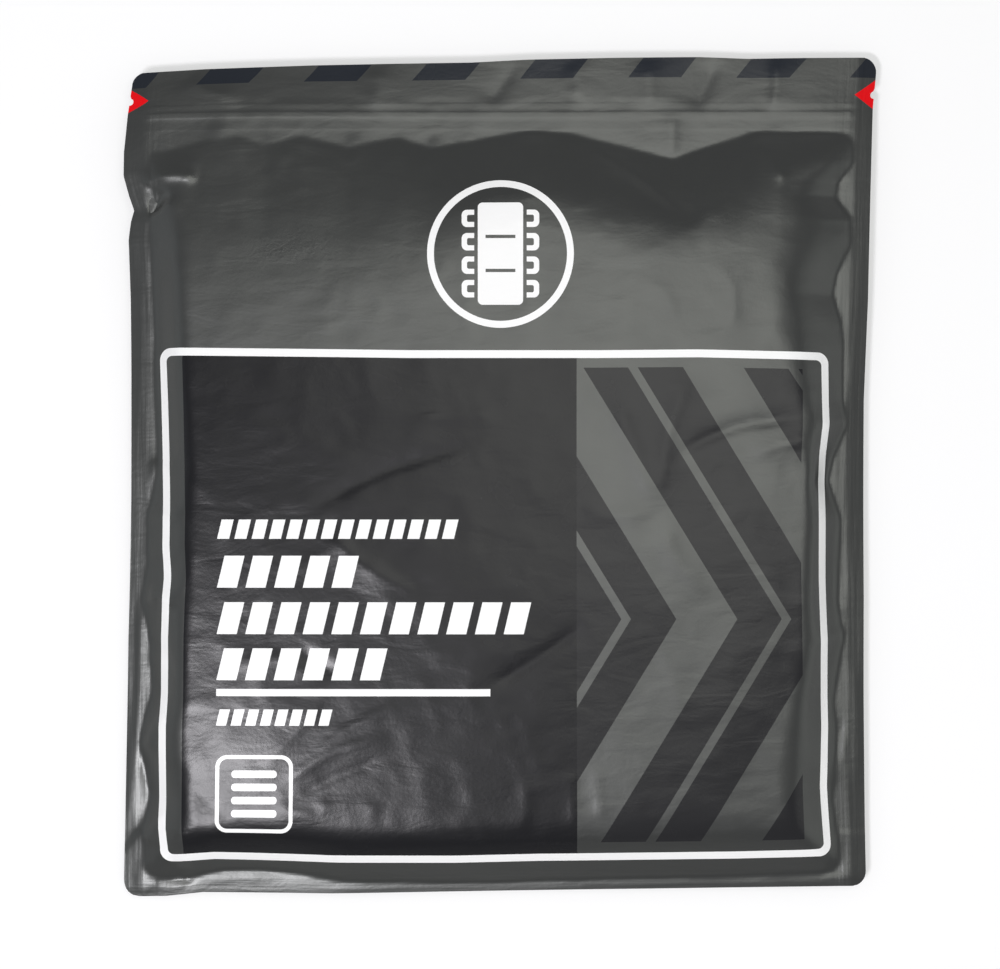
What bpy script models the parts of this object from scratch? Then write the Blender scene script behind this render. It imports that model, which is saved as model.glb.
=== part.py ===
"""A carry sheet for moving a casualty, folded small inside a resealable film pouch.

The pouch lies on its back film with its printed face up. +X is to the right of that face,
+Y runs to the zip end and +Z is up. The origin is on the surface that it lies on, under
the middle of the pouch. All values are in metres.
"""

from math import ceil, cos, pi, sin

import bmesh
import bpy
from mathutils import Matrix

MM = 0.001

# Pouch, as it lies filled
POUCH_WIDTH = 250.0 * MM
POUCH_LENGTH = 278.0 * MM
SIDE_PULL_IN = 1.9 * MM
CORNER_RADIUS = 5.0 * MM
FILM = 0.25 * MM
RIM_HEIGHT = 7.0 * MM
SIDE_SEAL = 5.5 * MM
BOTTOM_SEAL = 4.5 * MM
GUSSET_DEPTH = 17.0 * MM

# Tear-off header, with a half-round notch at each end of the tear line
HEADER_LENGTH = 11.7 * MM
NOTCH_RADIUS = 1.7 * MM

# Press-to-close zip
ZIP_TOP = 14.5 * MM
ZIP_WIDTH = 9.0 * MM
ZIP_RAMP = 2.6 * MM
ZIP_CRUSH = 5.0 * MM
ZIP_FLANGE = 0.3 * MM
TRACK_INSET = 3.2 * MM
GROOVE_WIDTH = 1.9 * MM
GROOVE_WALL = 0.35 * MM
HOOK_REACH = 0.45 * MM
HOOK_THICKNESS = 0.35 * MM
TONGUE_HEAD = 0.6 * MM
TRACK_FIT = 0.25 * MM

# Carry sheet, opened flat
SHEET_WIDTH = 600.0 * MM
SHEET_LENGTH = 1200.0 * MM
SHEET_PLY = 0.25 * MM

# Webbing handles, each doubled and laid between two panels
WEBBING_WIDTH = 25.0 * MM
WEBBING_THICKNESS = 0.7 * MM
HANDLE_LEG = 140.0 * MM
HANDLE_SPACING = 110.0 * MM
HANDLE_OVERHANG = 6.0 * MM
HANDLE_PAIRS = 4

# Clearances
SEAT_GAP = 0.3 * MM
GUSSET_CLEARANCE = 2.0 * MM
FILM_EASE = 4.0 * MM
LEAST_SIDE_SLOPE = 15.0 * MM
LEAST_MOUTH_SLOPE = 20.0 * MM
TRIM_MARGIN = 2.0 * MM

# Mesh fineness
SLOPE_STEPS = 7
SPAN_STEPS = 6
FOLD_STEPS = 6
CORNER_STEPS = 6

# Plan of the pouch
HALF_WIDTH = POUCH_WIDTH / 2
TOP_EDGE = POUCH_LENGTH / 2
BOTTOM_EDGE = -POUCH_LENGTH / 2
SEAL_LINE = HALF_WIDTH - SIDE_SEAL
TEAR_LINE = TOP_EDGE - HEADER_LENGTH
ZIP_UPPER = TOP_EDGE - ZIP_TOP
ZIP_LOWER = ZIP_UPPER - ZIP_WIDTH
ZIP_END = SEAL_LINE - ZIP_CRUSH
TRACK_LINE = ZIP_UPPER - TRACK_INSET
GUSSET_APEX = BOTTOM_EDGE + GUSSET_DEPTH

# Folded sheet: first in as many plies across, then in as many panels, as the pouch asks for
PLY_RADIUS = (SHEET_PLY + SEAT_GAP) / 2
ROOM_ACROSS = 2 * (SEAL_LINE - LEAST_SIDE_SLOPE - FILM_EASE - PLY_RADIUS) - SHEET_PLY
PLIES = ceil((SHEET_WIDTH + pi * PLY_RADIUS) / (ROOM_ACROSS + pi * PLY_RADIUS))
STRIP_THICKNESS = 2 * PLY_RADIUS * (PLIES - 1) + SHEET_PLY
STRAP_RADIUS = (WEBBING_THICKNESS + SEAT_GAP) / 2
STRAP_STACK = 2 * STRAP_RADIUS + WEBBING_THICKNESS
PANEL_RADIUS = (STRIP_THICKNESS + STRAP_STACK) / 2 + SEAT_GAP
FOLD_BULGE = PANEL_RADIUS + STRIP_THICKNESS / 2
BUNDLE_BOTTOM = GUSSET_APEX + GUSSET_CLEARANCE + HANDLE_OVERHANG
SLOPE_END = ZIP_LOWER - ZIP_RAMP
ROOM_ALONG = SLOPE_END - LEAST_MOUTH_SLOPE - FILM_EASE - BUNDLE_BOTTOM - 2 * FOLD_BULGE
PANELS = ceil((SHEET_LENGTH + pi * PANEL_RADIUS) / (ROOM_ALONG + pi * PANEL_RADIUS))
PLY_RUN = (SHEET_WIDTH - (PLIES - 1) * pi * PLY_RADIUS) / PLIES
PANEL_RUN = (SHEET_LENGTH - (PANELS - 1) * pi * PANEL_RADIUS) / PANELS
BUNDLE_HALF_WIDTH = PLY_RUN / 2 + PLY_RADIUS + SHEET_PLY / 2
BUNDLE_TOP = BUNDLE_BOTTOM + PANEL_RUN + 2 * FOLD_BULGE
FIRST_PANEL = FILM + SEAT_GAP + STRIP_THICKNESS / 2
LAST_PANEL = FIRST_PANEL + 2 * PANEL_RADIUS * (PANELS - 1)

# Film heights, at the middle of the film's thickness
FILM_FLOOR = FILM / 2
FILM_TOP = LAST_PANEL + STRIP_THICKNESS / 2 + SEAT_GAP + FILM / 2
LEVEL_HALF_WIDTH = BUNDLE_HALF_WIDTH + FILM_EASE
LEVEL_BOTTOM = BUNDLE_BOTTOM - FILM_EASE
MOUTH_HINGE = BUNDLE_TOP + FILM_EASE
SEAL_SPREAD = (FILM + SEAT_GAP) / 2
GUSSET_SPREAD = SEAL_SPREAD + FILM + SEAT_GAP
GUSSET_RAMP = 3.0 * MM

# Zip section
GROOVE_DEPTH = TONGUE_HEAD + 2 * TRACK_FIT
GROOVE_HEIGHT = GROOVE_DEPTH + HOOK_THICKNESS
ZIP_STACK = 2 * ZIP_FLANGE + GROOVE_HEIGHT + TRACK_FIT
ZIP_SPREAD = ZIP_STACK / 2 + SEAT_GAP + FILM / 2


def clear_scene():
    """Remove what the file opened with."""
    for thing in list(bpy.data.objects):
        bpy.data.objects.remove(thing, do_unlink=True)


def new_collection(name):
    """Return a new collection under the scene's own."""
    collection = bpy.data.collections.new(name)
    bpy.context.scene.collection.children.link(collection)
    return collection


def principled(name, colour, roughness):
    """Return a plain plastic or cloth material of one colour."""
    material = bpy.data.materials.new(name)
    material.use_nodes = True
    shader = material.node_tree.nodes["Principled BSDF"]
    shader.inputs["Base Color"].default_value = (*colour, 1.0)
    shader.inputs["Roughness"].default_value = roughness
    shader.inputs["Metallic"].default_value = 0.0
    return material


def fall(value, start, end):
    """Fall smoothly from 1 at start to 0 at end."""
    share = min(max((value - start) / (end - start), 0.0), 1.0)
    return 1.0 - share * share * (3.0 - 2.0 * share)


def waist(y):
    """Share of its width that the pouch keeps at y: the filling draws its sides in."""
    share = y / TOP_EDGE
    return 1.0 - SIDE_PULL_IN / HALF_WIDTH * max(1.0 - share * share, 0.0)


def filling(x, y):
    """How far the folded sheet holds the two films apart, from 0 at the rim to 1."""
    across = fall(abs(x), LEVEL_HALF_WIDTH, SEAL_LINE)
    up = fall(y, MOUTH_HINGE, SLOPE_END)
    down = fall(y, LEVEL_BOTTOM, BOTTOM_EDGE + BOTTOM_SEAL)
    return across * up * down


def spread(x, y):
    """Half the distance between the films' middles at the rim: more round gusset and zip."""
    over_gusset = fall(y, GUSSET_APEX + SEAT_GAP, GUSSET_APEX + SEAT_GAP + GUSSET_RAMP)
    over_zip = fall(y, ZIP_UPPER, TEAR_LINE) * fall(y, ZIP_LOWER, SLOPE_END)
    over_zip *= fall(abs(x), ZIP_END, SEAL_LINE)
    gusset_part = over_gusset * (GUSSET_SPREAD - SEAL_SPREAD)
    zip_part = over_zip * (ZIP_SPREAD - SEAL_SPREAD)
    return SEAL_SPREAD + gusset_part + zip_part


def front_point(x, y):
    """Place of a point of the front film, from its plan before the sides drew in."""
    rim = RIM_HEIGHT + spread(x, y)
    return x * waist(y), y, rim + filling(x, y) * (FILM_TOP - rim)


def back_point(x, y):
    """Place of a point of the back film."""
    rim = RIM_HEIGHT - spread(x, y)
    return x * waist(y), y, rim + filling(x, y) * (FILM_FLOOR - rim)


def folded(distance, run, radius):
    """Follow a strip that folds back and forth.

    The strip runs level for run, turns through a half circle of radius, runs back, and so
    on. Returns the place along the runs, the rise, and the heading as (along, rise).
    """
    period = run + pi * radius
    fold = int(distance / period)
    rest = distance - fold * period
    side = 1 if fold % 2 == 0 else -1
    start = 0.0 if side > 0 else run
    if rest <= run:
        return start + side * rest, 2 * radius * fold, (side, 0.0)
    angle = (rest - run) / radius
    along = start + side * (run + radius * sin(angle))
    rise = 2 * radius * fold + radius * (1.0 - cos(angle))
    return along, rise, (side * cos(angle), sin(angle))


def fold_lines(length, run, radius):
    """Distances along a folded strip at which it needs a line of points."""
    lines = []
    start = 0.0
    while start < length - radius:
        lines.append(start)
        for step in range(FOLD_STEPS):
            lines.append(start + run + pi * radius * step / FOLD_STEPS)
        start += run + pi * radius
    return [line for line in lines if line < length - SHEET_PLY / 2] + [length]


def spaced(start, end, steps):
    """Return steps + 1 values from start to end."""
    return [start + (end - start) * step / steps for step in range(steps + 1)]


def merged(*groups):
    """Return the groups' values in order, each one once."""
    values = sorted(value for group in groups for value in group)
    kept = values[:1]
    for value in values[1:]:
        if value - kept[-1] > FILM / 10:
            kept.append(value)
    return kept


def mirrored(values):
    """Return the values and their negatives."""
    return [-value for value in values] + list(values)


def surface(name, first, second, place, omit=None):
    """Make an open sheet mesh from a grid.

    The grid's lines lie at the values in first and second, and place gives the point where
    two of them cross. A face whose middle omit accepts is left out.
    """
    builder = bmesh.new()
    bmesh.ops.create_grid(
        builder, x_segments=len(first) - 1, y_segments=len(second) - 1, size=1.0
    )
    values = {}
    for vertex in builder.verts:
        column = round((vertex.co.x + 1.0) / 2.0 * (len(first) - 1))
        row = round((vertex.co.y + 1.0) / 2.0 * (len(second) - 1))
        values[vertex] = (first[column], second[row])
    if omit:
        unwanted = []
        for face in builder.faces:
            middle = [sum(values[v][i] for v in face.verts) / 4 for i in (0, 1)]
            if omit(*middle):
                unwanted.append(face)
        bmesh.ops.delete(builder, geom=unwanted, context="FACES")
    for vertex in builder.verts:
        vertex.co = place(*values[vertex])
    mesh = bpy.data.meshes.new(name)
    builder.to_mesh(mesh)
    builder.free()
    return mesh


def solid_sheet(name, mesh, thickness, material, collection):
    """Put a sheet mesh in the scene and give it its thickness, half on each side."""
    sheet = bpy.data.objects.new(name, mesh)
    collection.objects.link(sheet)
    mesh.materials.append(material)
    mesh.shade_smooth()
    wall = sheet.modifiers.new("wall", "SOLIDIFY")
    wall.thickness = thickness
    wall.offset = 0.0
    wall.use_even_offset = True
    return sheet


def mesh_from_outline(name, outline, height):
    """Make a prism of a flat outline, height tall, centred on the outline's plane."""
    curve = bpy.data.curves.new(name, "CURVE")
    curve.dimensions = "2D"
    curve.fill_mode = "BOTH"
    curve.extrude = height / 2
    spline = curve.splines.new("POLY")
    spline.points.add(len(outline) - 1)
    for point, (x, y) in zip(spline.points, outline):
        point.co = (x, y, 0.0, 1.0)
    spline.use_cyclic_u = True
    guide = bpy.data.objects.new(name, curve)
    bpy.context.scene.collection.objects.link(guide)
    depsgraph = bpy.context.evaluated_depsgraph_get()
    mesh = bpy.data.meshes.new_from_object(guide.evaluated_get(depsgraph))
    bpy.data.objects.remove(guide, do_unlink=True)
    builder = bmesh.new()
    builder.from_mesh(mesh)
    bmesh.ops.remove_doubles(builder, verts=builder.verts, dist=FILM / 1000)
    builder.to_mesh(mesh)
    builder.free()
    mesh.name = name
    return mesh


def arc(centre, radius, start, end):
    """Return points round centre from start to end, in quarter turns."""
    points = []
    for angle in spaced(start * pi / 2, end * pi / 2, CORNER_STEPS):
        points.append((centre[0] + radius * cos(angle), centre[1] + radius * sin(angle)))
    return points


def pouch_outline():
    """Trimmed edge of the pouch, anticlockwise: round corners, tear notches, drawn-in sides."""
    corner_x = HALF_WIDTH - CORNER_RADIUS
    corner_y = TOP_EDGE - CORNER_RADIUS
    right_side = spaced(-corner_y, TEAR_LINE - NOTCH_RADIUS, 2 * SPAN_STEPS)[1:-1]
    points = arc((corner_x, -corner_y), CORNER_RADIUS, -1, 0)
    points += [(HALF_WIDTH, y) for y in right_side]
    points += arc((HALF_WIDTH, TEAR_LINE), NOTCH_RADIUS, 3, 1)
    points += arc((corner_x, corner_y), CORNER_RADIUS, 0, 1)
    points += arc((-corner_x, corner_y), CORNER_RADIUS, 1, 2)
    points += arc((-HALF_WIDTH, TEAR_LINE), NOTCH_RADIUS, 1, -1)
    points += [(-HALF_WIDTH, y) for y in reversed(right_side)]
    points += arc((-corner_x, -corner_y), CORNER_RADIUS, 2, 3)
    return [(x * waist(y), y) for x, y in points]


def make_trimmer(collection):
    """Make the prism that trims every film to the pouch's outline."""
    mesh = mesh_from_outline("pouch_trimmer", pouch_outline(), 4 * FILM_TOP)
    trimmer = bpy.data.objects.new("pouch_trimmer", mesh)
    trimmer.display_type = "WIRE"
    trimmer.hide_render = True
    collection.objects.link(trimmer)
    return trimmer


def trim(sheet, trimmer):
    """Keep the part of a film that lies inside the pouch's outline."""
    cut = sheet.modifiers.new("trim", "BOOLEAN")
    cut.operation = "INTERSECT"
    cut.solver = "EXACT"
    cut.object = trimmer


def across_lines():
    """Lines across the pouch that both films share, up to the side seals."""
    level = spaced(0.0, LEVEL_HALF_WIDTH, SPAN_STEPS // 2)
    slope = spaced(LEVEL_HALF_WIDTH, SEAL_LINE - SEAT_GAP / 2, SLOPE_STEPS)
    return merged(mirrored(level + slope + [ZIP_END]))


def seal_lines():
    """Lines across the side seals, which run a little past the trimmed edge."""
    return mirrored([SEAL_LINE + SEAT_GAP / 2, HALF_WIDTH + TRIM_MARGIN])


def body_lines():
    """Lines along the pouch from its bottom edge to the hinge of its mouth."""
    rise = spaced(BOTTOM_EDGE + BOTTOM_SEAL, LEVEL_BOTTOM, SLOPE_STEPS)
    level = spaced(LEVEL_BOTTOM, MOUTH_HINGE, SPAN_STEPS)
    over_gusset = [GUSSET_APEX + SEAT_GAP, GUSSET_APEX + SEAT_GAP + GUSSET_RAMP]
    lines = merged([BOTTOM_EDGE - TRIM_MARGIN], rise, level, over_gusset)
    return lines[:-1] + [MOUTH_HINGE - SEAT_GAP / 2]


def mouth_lines():
    """Lines along the pouch from the hinge of its mouth to the tear line."""
    slope = spaced(MOUTH_HINGE + SEAT_GAP / 2, SLOPE_END, SLOPE_STEPS)
    ramp_middle = [ZIP_LOWER - ZIP_RAMP / 2, (ZIP_UPPER + TEAR_LINE) / 2]
    return merged(slope, [ZIP_LOWER, ZIP_UPPER], ramp_middle, [TEAR_LINE - SEAT_GAP / 2])


def make_front_panel(material, collection, trimmer):
    """Front film, with the two side seals that reach past the mouth to the tear line."""

    def in_mouth(x, y):
        return y > MOUTH_HINGE - SEAT_GAP / 2 and abs(x) < SEAL_LINE + SEAT_GAP / 2

    mesh = surface(
        "front_panel",
        merged(across_lines(), seal_lines()),
        merged(body_lines(), mouth_lines()),
        front_point,
        omit=in_mouth,
    )
    panel = solid_sheet("front_panel", mesh, FILM, material, collection)
    trim(panel, trimmer)
    return panel


def make_front_lip(material, collection):
    """Part of the front film that lifts when the zip is pulled open."""
    mesh = surface("front_lip", across_lines(), mouth_lines(), front_point)
    return solid_sheet("front_lip", mesh, FILM, material, collection)


def make_back_panel(material, collection, trimmer):
    """Back film, whole from the bottom edge to the tear line."""
    mesh = surface(
        "back_panel",
        merged(across_lines(), seal_lines()),
        merged(body_lines(), mouth_lines()),
        back_point,
    )
    panel = solid_sheet("back_panel", mesh, FILM, material, collection)
    trim(panel, trimmer)
    return panel


def make_tear_strip(name, place, material, collection, trimmer):
    """One film of the header that is torn off along the notches."""
    mesh = surface(
        name,
        merged(mirrored([0.0, SEAL_LINE, HALF_WIDTH + TRIM_MARGIN])),
        [TEAR_LINE + SEAT_GAP / 2, TOP_EDGE + TRIM_MARGIN],
        place,
    )
    strip = solid_sheet(name, mesh, FILM, material, collection)
    trim(strip, trimmer)
    return strip


def make_gusset(material, collection, trimmer):
    """Film folded in between the two panels along the bottom edge."""
    run = GUSSET_DEPTH + TRIM_MARGIN - SEAL_SPREAD - FILM / 2
    length = 2 * run + pi * SEAL_SPREAD

    def place(x, distance):
        along, rise, _ = folded(distance, run, SEAL_SPREAD)
        y = BOTTOM_EDGE - TRIM_MARGIN + along
        return x * waist(y), y, RIM_HEIGHT - SEAL_SPREAD + rise

    mesh = surface(
        "bottom_gusset",
        merged(mirrored([0.0, SEAL_LINE, HALF_WIDTH + TRIM_MARGIN])),
        fold_lines(length, run, SEAL_SPREAD),
        place,
    )
    gusset = solid_sheet("bottom_gusset", mesh, FILM, material, collection)
    trim(gusset, trimmer)
    return gusset


def zip_strip(name, outline, material, collection):
    """Extrude a zip section, given as (along, height) from the track line, across the pouch."""
    mesh = mesh_from_outline(name, outline, 2 * ZIP_END)
    turn = Matrix(((0, 0, 1, 0), (1, 0, 0, TRACK_LINE), (0, 1, 0, 0), (0, 0, 0, 1)))
    mesh.transform(turn)
    mesh.materials.append(material)
    strip = bpy.data.objects.new(name, mesh)
    collection.objects.link(strip)
    return strip


def make_groove_strip(material, collection):
    """Zip strip of the back film: a flange with two hooked walls."""
    base = RIM_HEIGHT - ZIP_STACK / 2
    floor = base + ZIP_FLANGE
    crest = floor + GROOVE_HEIGHT
    under_hook = floor + GROOVE_DEPTH
    inner = GROOVE_WIDTH / 2
    outer = inner + GROOVE_WALL
    tip = inner - HOOK_REACH
    wall = [
        (outer, floor),
        (outer, crest - HOOK_THICKNESS / 2),
        (outer - GROOVE_WALL / 2, crest),
        (tip + HOOK_REACH / 3, crest),
        (tip, under_hook),
        (inner, under_hook),
        (inner, floor),
    ]
    outline = [(TRACK_INSET, base), (TRACK_INSET, floor)] + wall
    outline += [(-along, height) for along, height in reversed(wall)]
    outline += [(TRACK_INSET - ZIP_WIDTH, floor), (TRACK_INSET - ZIP_WIDTH, base)]
    return zip_strip("zip_groove_strip", outline, material, collection)


def make_tongue_strip(material, collection):
    """Zip strip of the front film: a flange with an arrow-headed tongue."""
    base = RIM_HEIGHT + ZIP_STACK / 2
    face = base - ZIP_FLANGE
    shoulder = face - TRACK_FIT - HOOK_THICKNESS - TRACK_FIT
    nose = shoulder - TONGUE_HEAD
    stem = GROOVE_WIDTH / 2 - HOOK_REACH - TRACK_FIT
    head = GROOVE_WIDTH / 2 - TRACK_FIT
    side = [
        (stem, face),
        (stem, shoulder),
        (head, shoulder),
        (head, shoulder - TONGUE_HEAD / 3),
        (stem, nose),
    ]
    outline = [(TRACK_INSET, base), (TRACK_INSET, face)] + side
    outline += [(-along, height) for along, height in reversed(side)]
    outline += [(TRACK_INSET - ZIP_WIDTH, face), (TRACK_INSET - ZIP_WIDTH, base)]
    outline.reverse()
    return zip_strip("zip_tongue_strip", outline, material, collection)


def sheet_point(across, along):
    """Place of a point of the carry sheet after its folds, from its place on the flat sheet."""
    x, lift, _ = folded(across, PLY_RUN, PLY_RADIUS)
    y, rise, heading = folded(along, PANEL_RUN, PANEL_RADIUS)
    offset = lift - PLY_RADIUS * (PLIES - 1)
    return (
        x - PLY_RUN / 2,
        BUNDLE_BOTTOM + FOLD_BULGE + y - offset * heading[1],
        FIRST_PANEL + rise + offset * heading[0],
    )


def make_carry_sheet(material, collection):
    """Carry sheet, folded in three across its width and then back and forth in panels."""
    mesh = surface(
        "carry_sheet",
        fold_lines(SHEET_WIDTH, PLY_RUN, PLY_RADIUS),
        fold_lines(SHEET_LENGTH, PANEL_RUN, PANEL_RADIUS),
        sheet_point,
    )
    return solid_sheet("carry_sheet", mesh, SHEET_PLY, material, collection)


def make_handle(name, x_middle, gap, material, collection):
    """One doubled webbing handle in a gap between panels, its loop out of the open end."""
    side = -1 if gap % 2 == 0 else 1
    edge = BUNDLE_BOTTOM if side < 0 else BUNDLE_TOP
    loop_end = edge + side * (HANDLE_OVERHANG - STRAP_RADIUS - WEBBING_THICKNESS / 2)
    middle = FIRST_PANEL + 2 * PANEL_RADIUS * (gap + 0.5)

    def place(x, distance):
        along, rise, _ = folded(distance, HANDLE_LEG, STRAP_RADIUS)
        y = loop_end - side * (HANDLE_LEG - along)
        return x_middle + side * x, y, middle - STRAP_RADIUS + rise

    mesh = surface(
        name,
        [-WEBBING_WIDTH / 2, 0.0, WEBBING_WIDTH / 2],
        fold_lines(2 * HANDLE_LEG + pi * STRAP_RADIUS, HANDLE_LEG, STRAP_RADIUS),
        place,
    )
    return solid_sheet(name, mesh, WEBBING_THICKNESS, material, collection)


def make_handles(material, collection):
    """Lay two handles side by side in each of the upper gaps between panels."""
    number = 1
    for gap in range(PANELS - 1 - HANDLE_PAIRS, PANELS - 1):
        for x_middle in (-HANDLE_SPACING / 2, HANDLE_SPACING / 2):
            name = f"carry_handle_{number}"
            make_handle(name, x_middle, gap, material, collection)
            number += 1


def hang_on(empty_name, place, pieces, collection):
    """Parent pieces that move together to an empty on their joint, where they lie."""
    joint = bpy.data.objects.new(empty_name, None)
    joint.location = place
    joint.empty_display_size = CORNER_RADIUS
    collection.objects.link(joint)
    for piece in pieces:
        piece.parent = joint
        piece.matrix_parent_inverse = Matrix.Translation(place).inverted()


def build():
    """Build every piece of the packed carry sheet."""
    clear_scene()
    pieces = new_collection("packed_carry_sheet")
    cutters = new_collection("cutters")

    film = principled("charcoal_laminate_film", (0.055, 0.056, 0.060), 0.42)
    inner_film = principled("gusset_film", (0.050, 0.051, 0.055), 0.45)
    zip_plastic = principled("zip_polyethylene", (0.20, 0.20, 0.21), 0.40)
    sheet_cloth = principled("coated_sheet_cloth", (0.55, 0.16, 0.03), 0.60)
    webbing = principled("black_webbing", (0.015, 0.015, 0.016), 0.75)

    trimmer = make_trimmer(cutters)
    make_front_panel(film, pieces, trimmer)
    make_back_panel(film, pieces, trimmer)
    make_gusset(inner_film, pieces, trimmer)
    lip = make_front_lip(film, pieces)
    tongue = make_tongue_strip(zip_plastic, pieces)
    make_groove_strip(zip_plastic, pieces)
    front_strip = make_tear_strip("tear_strip_front", front_point, film, pieces, trimmer)
    back_strip = make_tear_strip("tear_strip_back", back_point, film, pieces, trimmer)
    make_carry_sheet(sheet_cloth, pieces)
    make_handles(webbing, pieces)

    hang_on("mouth_hinge", (0.0, MOUTH_HINGE, FILM_TOP), [lip, tongue], pieces)
    tear_place = (0.0, TEAR_LINE, RIM_HEIGHT)
    hang_on("tear_line_slide", tear_place, [front_strip, back_strip], pieces)


build()
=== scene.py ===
"""Looks of a casualty carry sheet that is folded small inside a resealable film pouch.

The pouch lies on its back with its printed face up. +X is to the right of that face, +Y runs
to the zip end and +Z is up. Lengths are in metres; MM turns a size in millimetres into them.
A place on the film is given by its plan: where it lies on the pouch, seen from above, before
the filling and handling shift it.
"""

import logging
from dataclasses import dataclass, field
from enum import Enum
from math import ceil, cos, pi, radians, sin
from typing import Callable

import bmesh
import bpy
import numpy as np
from bpy.types import ID, Material, Mesh, Node, NodeSocket, NodeTree, Object
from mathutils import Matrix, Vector
from numpy import ndarray


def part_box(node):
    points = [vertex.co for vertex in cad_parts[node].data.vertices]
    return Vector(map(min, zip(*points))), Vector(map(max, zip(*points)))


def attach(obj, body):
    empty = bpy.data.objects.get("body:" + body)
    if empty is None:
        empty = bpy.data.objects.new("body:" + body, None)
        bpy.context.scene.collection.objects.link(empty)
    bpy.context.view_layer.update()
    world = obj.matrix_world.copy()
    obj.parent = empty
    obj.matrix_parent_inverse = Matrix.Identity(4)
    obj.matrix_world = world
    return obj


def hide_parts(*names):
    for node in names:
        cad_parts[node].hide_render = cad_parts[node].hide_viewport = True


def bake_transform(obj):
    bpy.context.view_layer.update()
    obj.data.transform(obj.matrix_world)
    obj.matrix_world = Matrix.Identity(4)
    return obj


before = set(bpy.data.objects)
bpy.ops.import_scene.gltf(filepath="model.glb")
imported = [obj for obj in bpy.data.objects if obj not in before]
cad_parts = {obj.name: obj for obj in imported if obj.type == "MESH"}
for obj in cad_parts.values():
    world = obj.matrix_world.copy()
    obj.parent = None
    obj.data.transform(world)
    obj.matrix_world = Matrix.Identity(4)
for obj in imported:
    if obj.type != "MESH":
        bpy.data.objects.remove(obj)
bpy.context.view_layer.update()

MM = 0.001
log = logging.getLogger("carry_sheet")

Pair = tuple[float, float]
Triple = tuple[float, float, float]
Quad = tuple[float, float, float, float]
Points = tuple[Pair, ...]
OnPlaces = Callable[[ndarray, ndarray], ndarray]

# Least distance between two lines of a grid
LEAST_STEP = 0.15 * MM
# Cells of the noise each way, before it repeats
LATTICE_CELLS = 64
# How far a crease reaches, in widths, how blunt its top is, and the steps between its points
CREASE_REACH = 5.0
CREASE_BLUNTNESS = 0.3
CURVE_STEPS = 5
# Thickness that the films have among the solids
SOLID_FILM = 0.25 * MM
# A line that stays at 0
STILL: Points = ((0, 0.0), (1, 0.0))


class Body(Enum):
    """Bodies of the part: the last two move on the first."""

    POUCH = "pouch"
    MOUTH = "mouth"
    HEADER = "header"


class Side(Enum):
    """Sides of the filling that the film slopes down from."""

    LEFT = "left"
    RIGHT = "right"
    TOP = "top"
    BOTTOM = "bottom"


def linear(colour: str) -> Quad:
    """Turn an sRGB hex colour into linear values.

    Args:
        colour: the colour, as in "#3f4042".

    Returns:
        Red, green and blue in linear light, and an alpha of 1.
    """
    channels = []
    for start in (1, 3, 5):
        value = int(colour[start:start + 2], 16) / 255.0
        low = value <= 0.04045
        channels.append(value / 12.92 if low else ((value + 0.055) / 1.055) ** 2.4)
    return (*channels, 1.0)


def ease(share: ndarray) -> ndarray:
    """Turn a share into a smooth one, level at 0 and at 1."""
    share = np.clip(share, 0.0, 1.0)
    return share * share * (3.0 - 2.0 * share)


def fall(value: ndarray, start: float, end: float) -> ndarray:
    """Fall smoothly from 1 at start to 0 at end."""
    return 1.0 - ease((value - start) / (end - start))


def spaced(start: float, end: float, step: float) -> ndarray:
    """Return even values from start to end, at most step apart."""
    return np.linspace(start, end, ceil(abs(end - start) / step) + 1)


def on_line(line: Points, at: ndarray) -> ndarray:
    """Follow a line of (place in millimetres, value) points at places in metres."""
    return np.interp(at / MM, *zip(*sorted(line)))


def merged(*groups: ndarray) -> ndarray:
    """Return the groups' values in order, without any that are less than a step apart."""
    values = np.sort(np.concatenate([np.atleast_1d(group) for group in groups]))
    kept = [values[0]]
    for value in values[1:]:
        if value - kept[-1] > LEAST_STEP:
            kept.append(value)
    return np.array(kept)


@dataclass(frozen=True)
class Noise:
    """Smooth random values from -1 to 1, independent of each other a cell apart."""

    cell: float
    seed: int

    def at(self, x: ndarray, y: ndarray) -> ndarray:
        """Value at each place."""
        cells = (LATTICE_CELLS, LATTICE_CELLS)
        table = np.random.default_rng(self.seed).uniform(-1.0, 1.0, cells)
        across, along = x / self.cell, y / self.cell
        column, row = np.floor(across).astype(int), np.floor(along).astype(int)
        right, up = ease(across - column), ease(along - row)
        sides = []
        for line in (row % LATTICE_CELLS, (row + 1) % LATTICE_CELLS):
            near = table[column % LATTICE_CELLS, line]
            far = table[(column + 1) % LATTICE_CELLS, line]
            sides.append(near * (1 - right) + far * right)
        return sides[0] * (1 - up) + sides[1] * up


def add_object(name: str, data: ID) -> Object:
    """Add an object with this data to the scene."""
    added = bpy.data.objects.new(name, data)
    bpy.context.scene.collection.objects.link(added)
    return added


def put_in_order(
    elements: bmesh.types.BMVertSeq | bmesh.types.BMFaceSeq, key: Callable[..., Triple]
) -> None:
    """Sort the corners or faces of a shape by their places, so that each run lists them alike."""
    for index, element in enumerate(sorted(elements, key=key)):
        element.index = index
    elements.sort()


def add_node(
    tree: NodeTree, kind: str, inputs: dict | list | None = None, **settings: object
) -> Node:
    """Add a shader node with its settings and its links.

    Args:
        tree: node tree that takes the node.
        kind: Blender's name for the node without its ShaderNode prefix.
        inputs: a value, or a socket or node to link from, for each named or numbered input,
            or a list of them that starts at the first input.
        settings: values of the node's own properties.

    Returns:
        The new node.
    """
    node = tree.nodes.new("ShaderNode" + kind)
    for name, value in settings.items():
        setattr(node, name, value)
    if isinstance(inputs, list):
        inputs = dict(enumerate(inputs))
    for name, value in (inputs or {}).items():
        if isinstance(value, Node):
            value = value.outputs[0]
        if isinstance(value, NodeSocket):
            tree.links.new(value, node.inputs[name])
        else:
            node.inputs[name].default_value = value
    return node


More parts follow.
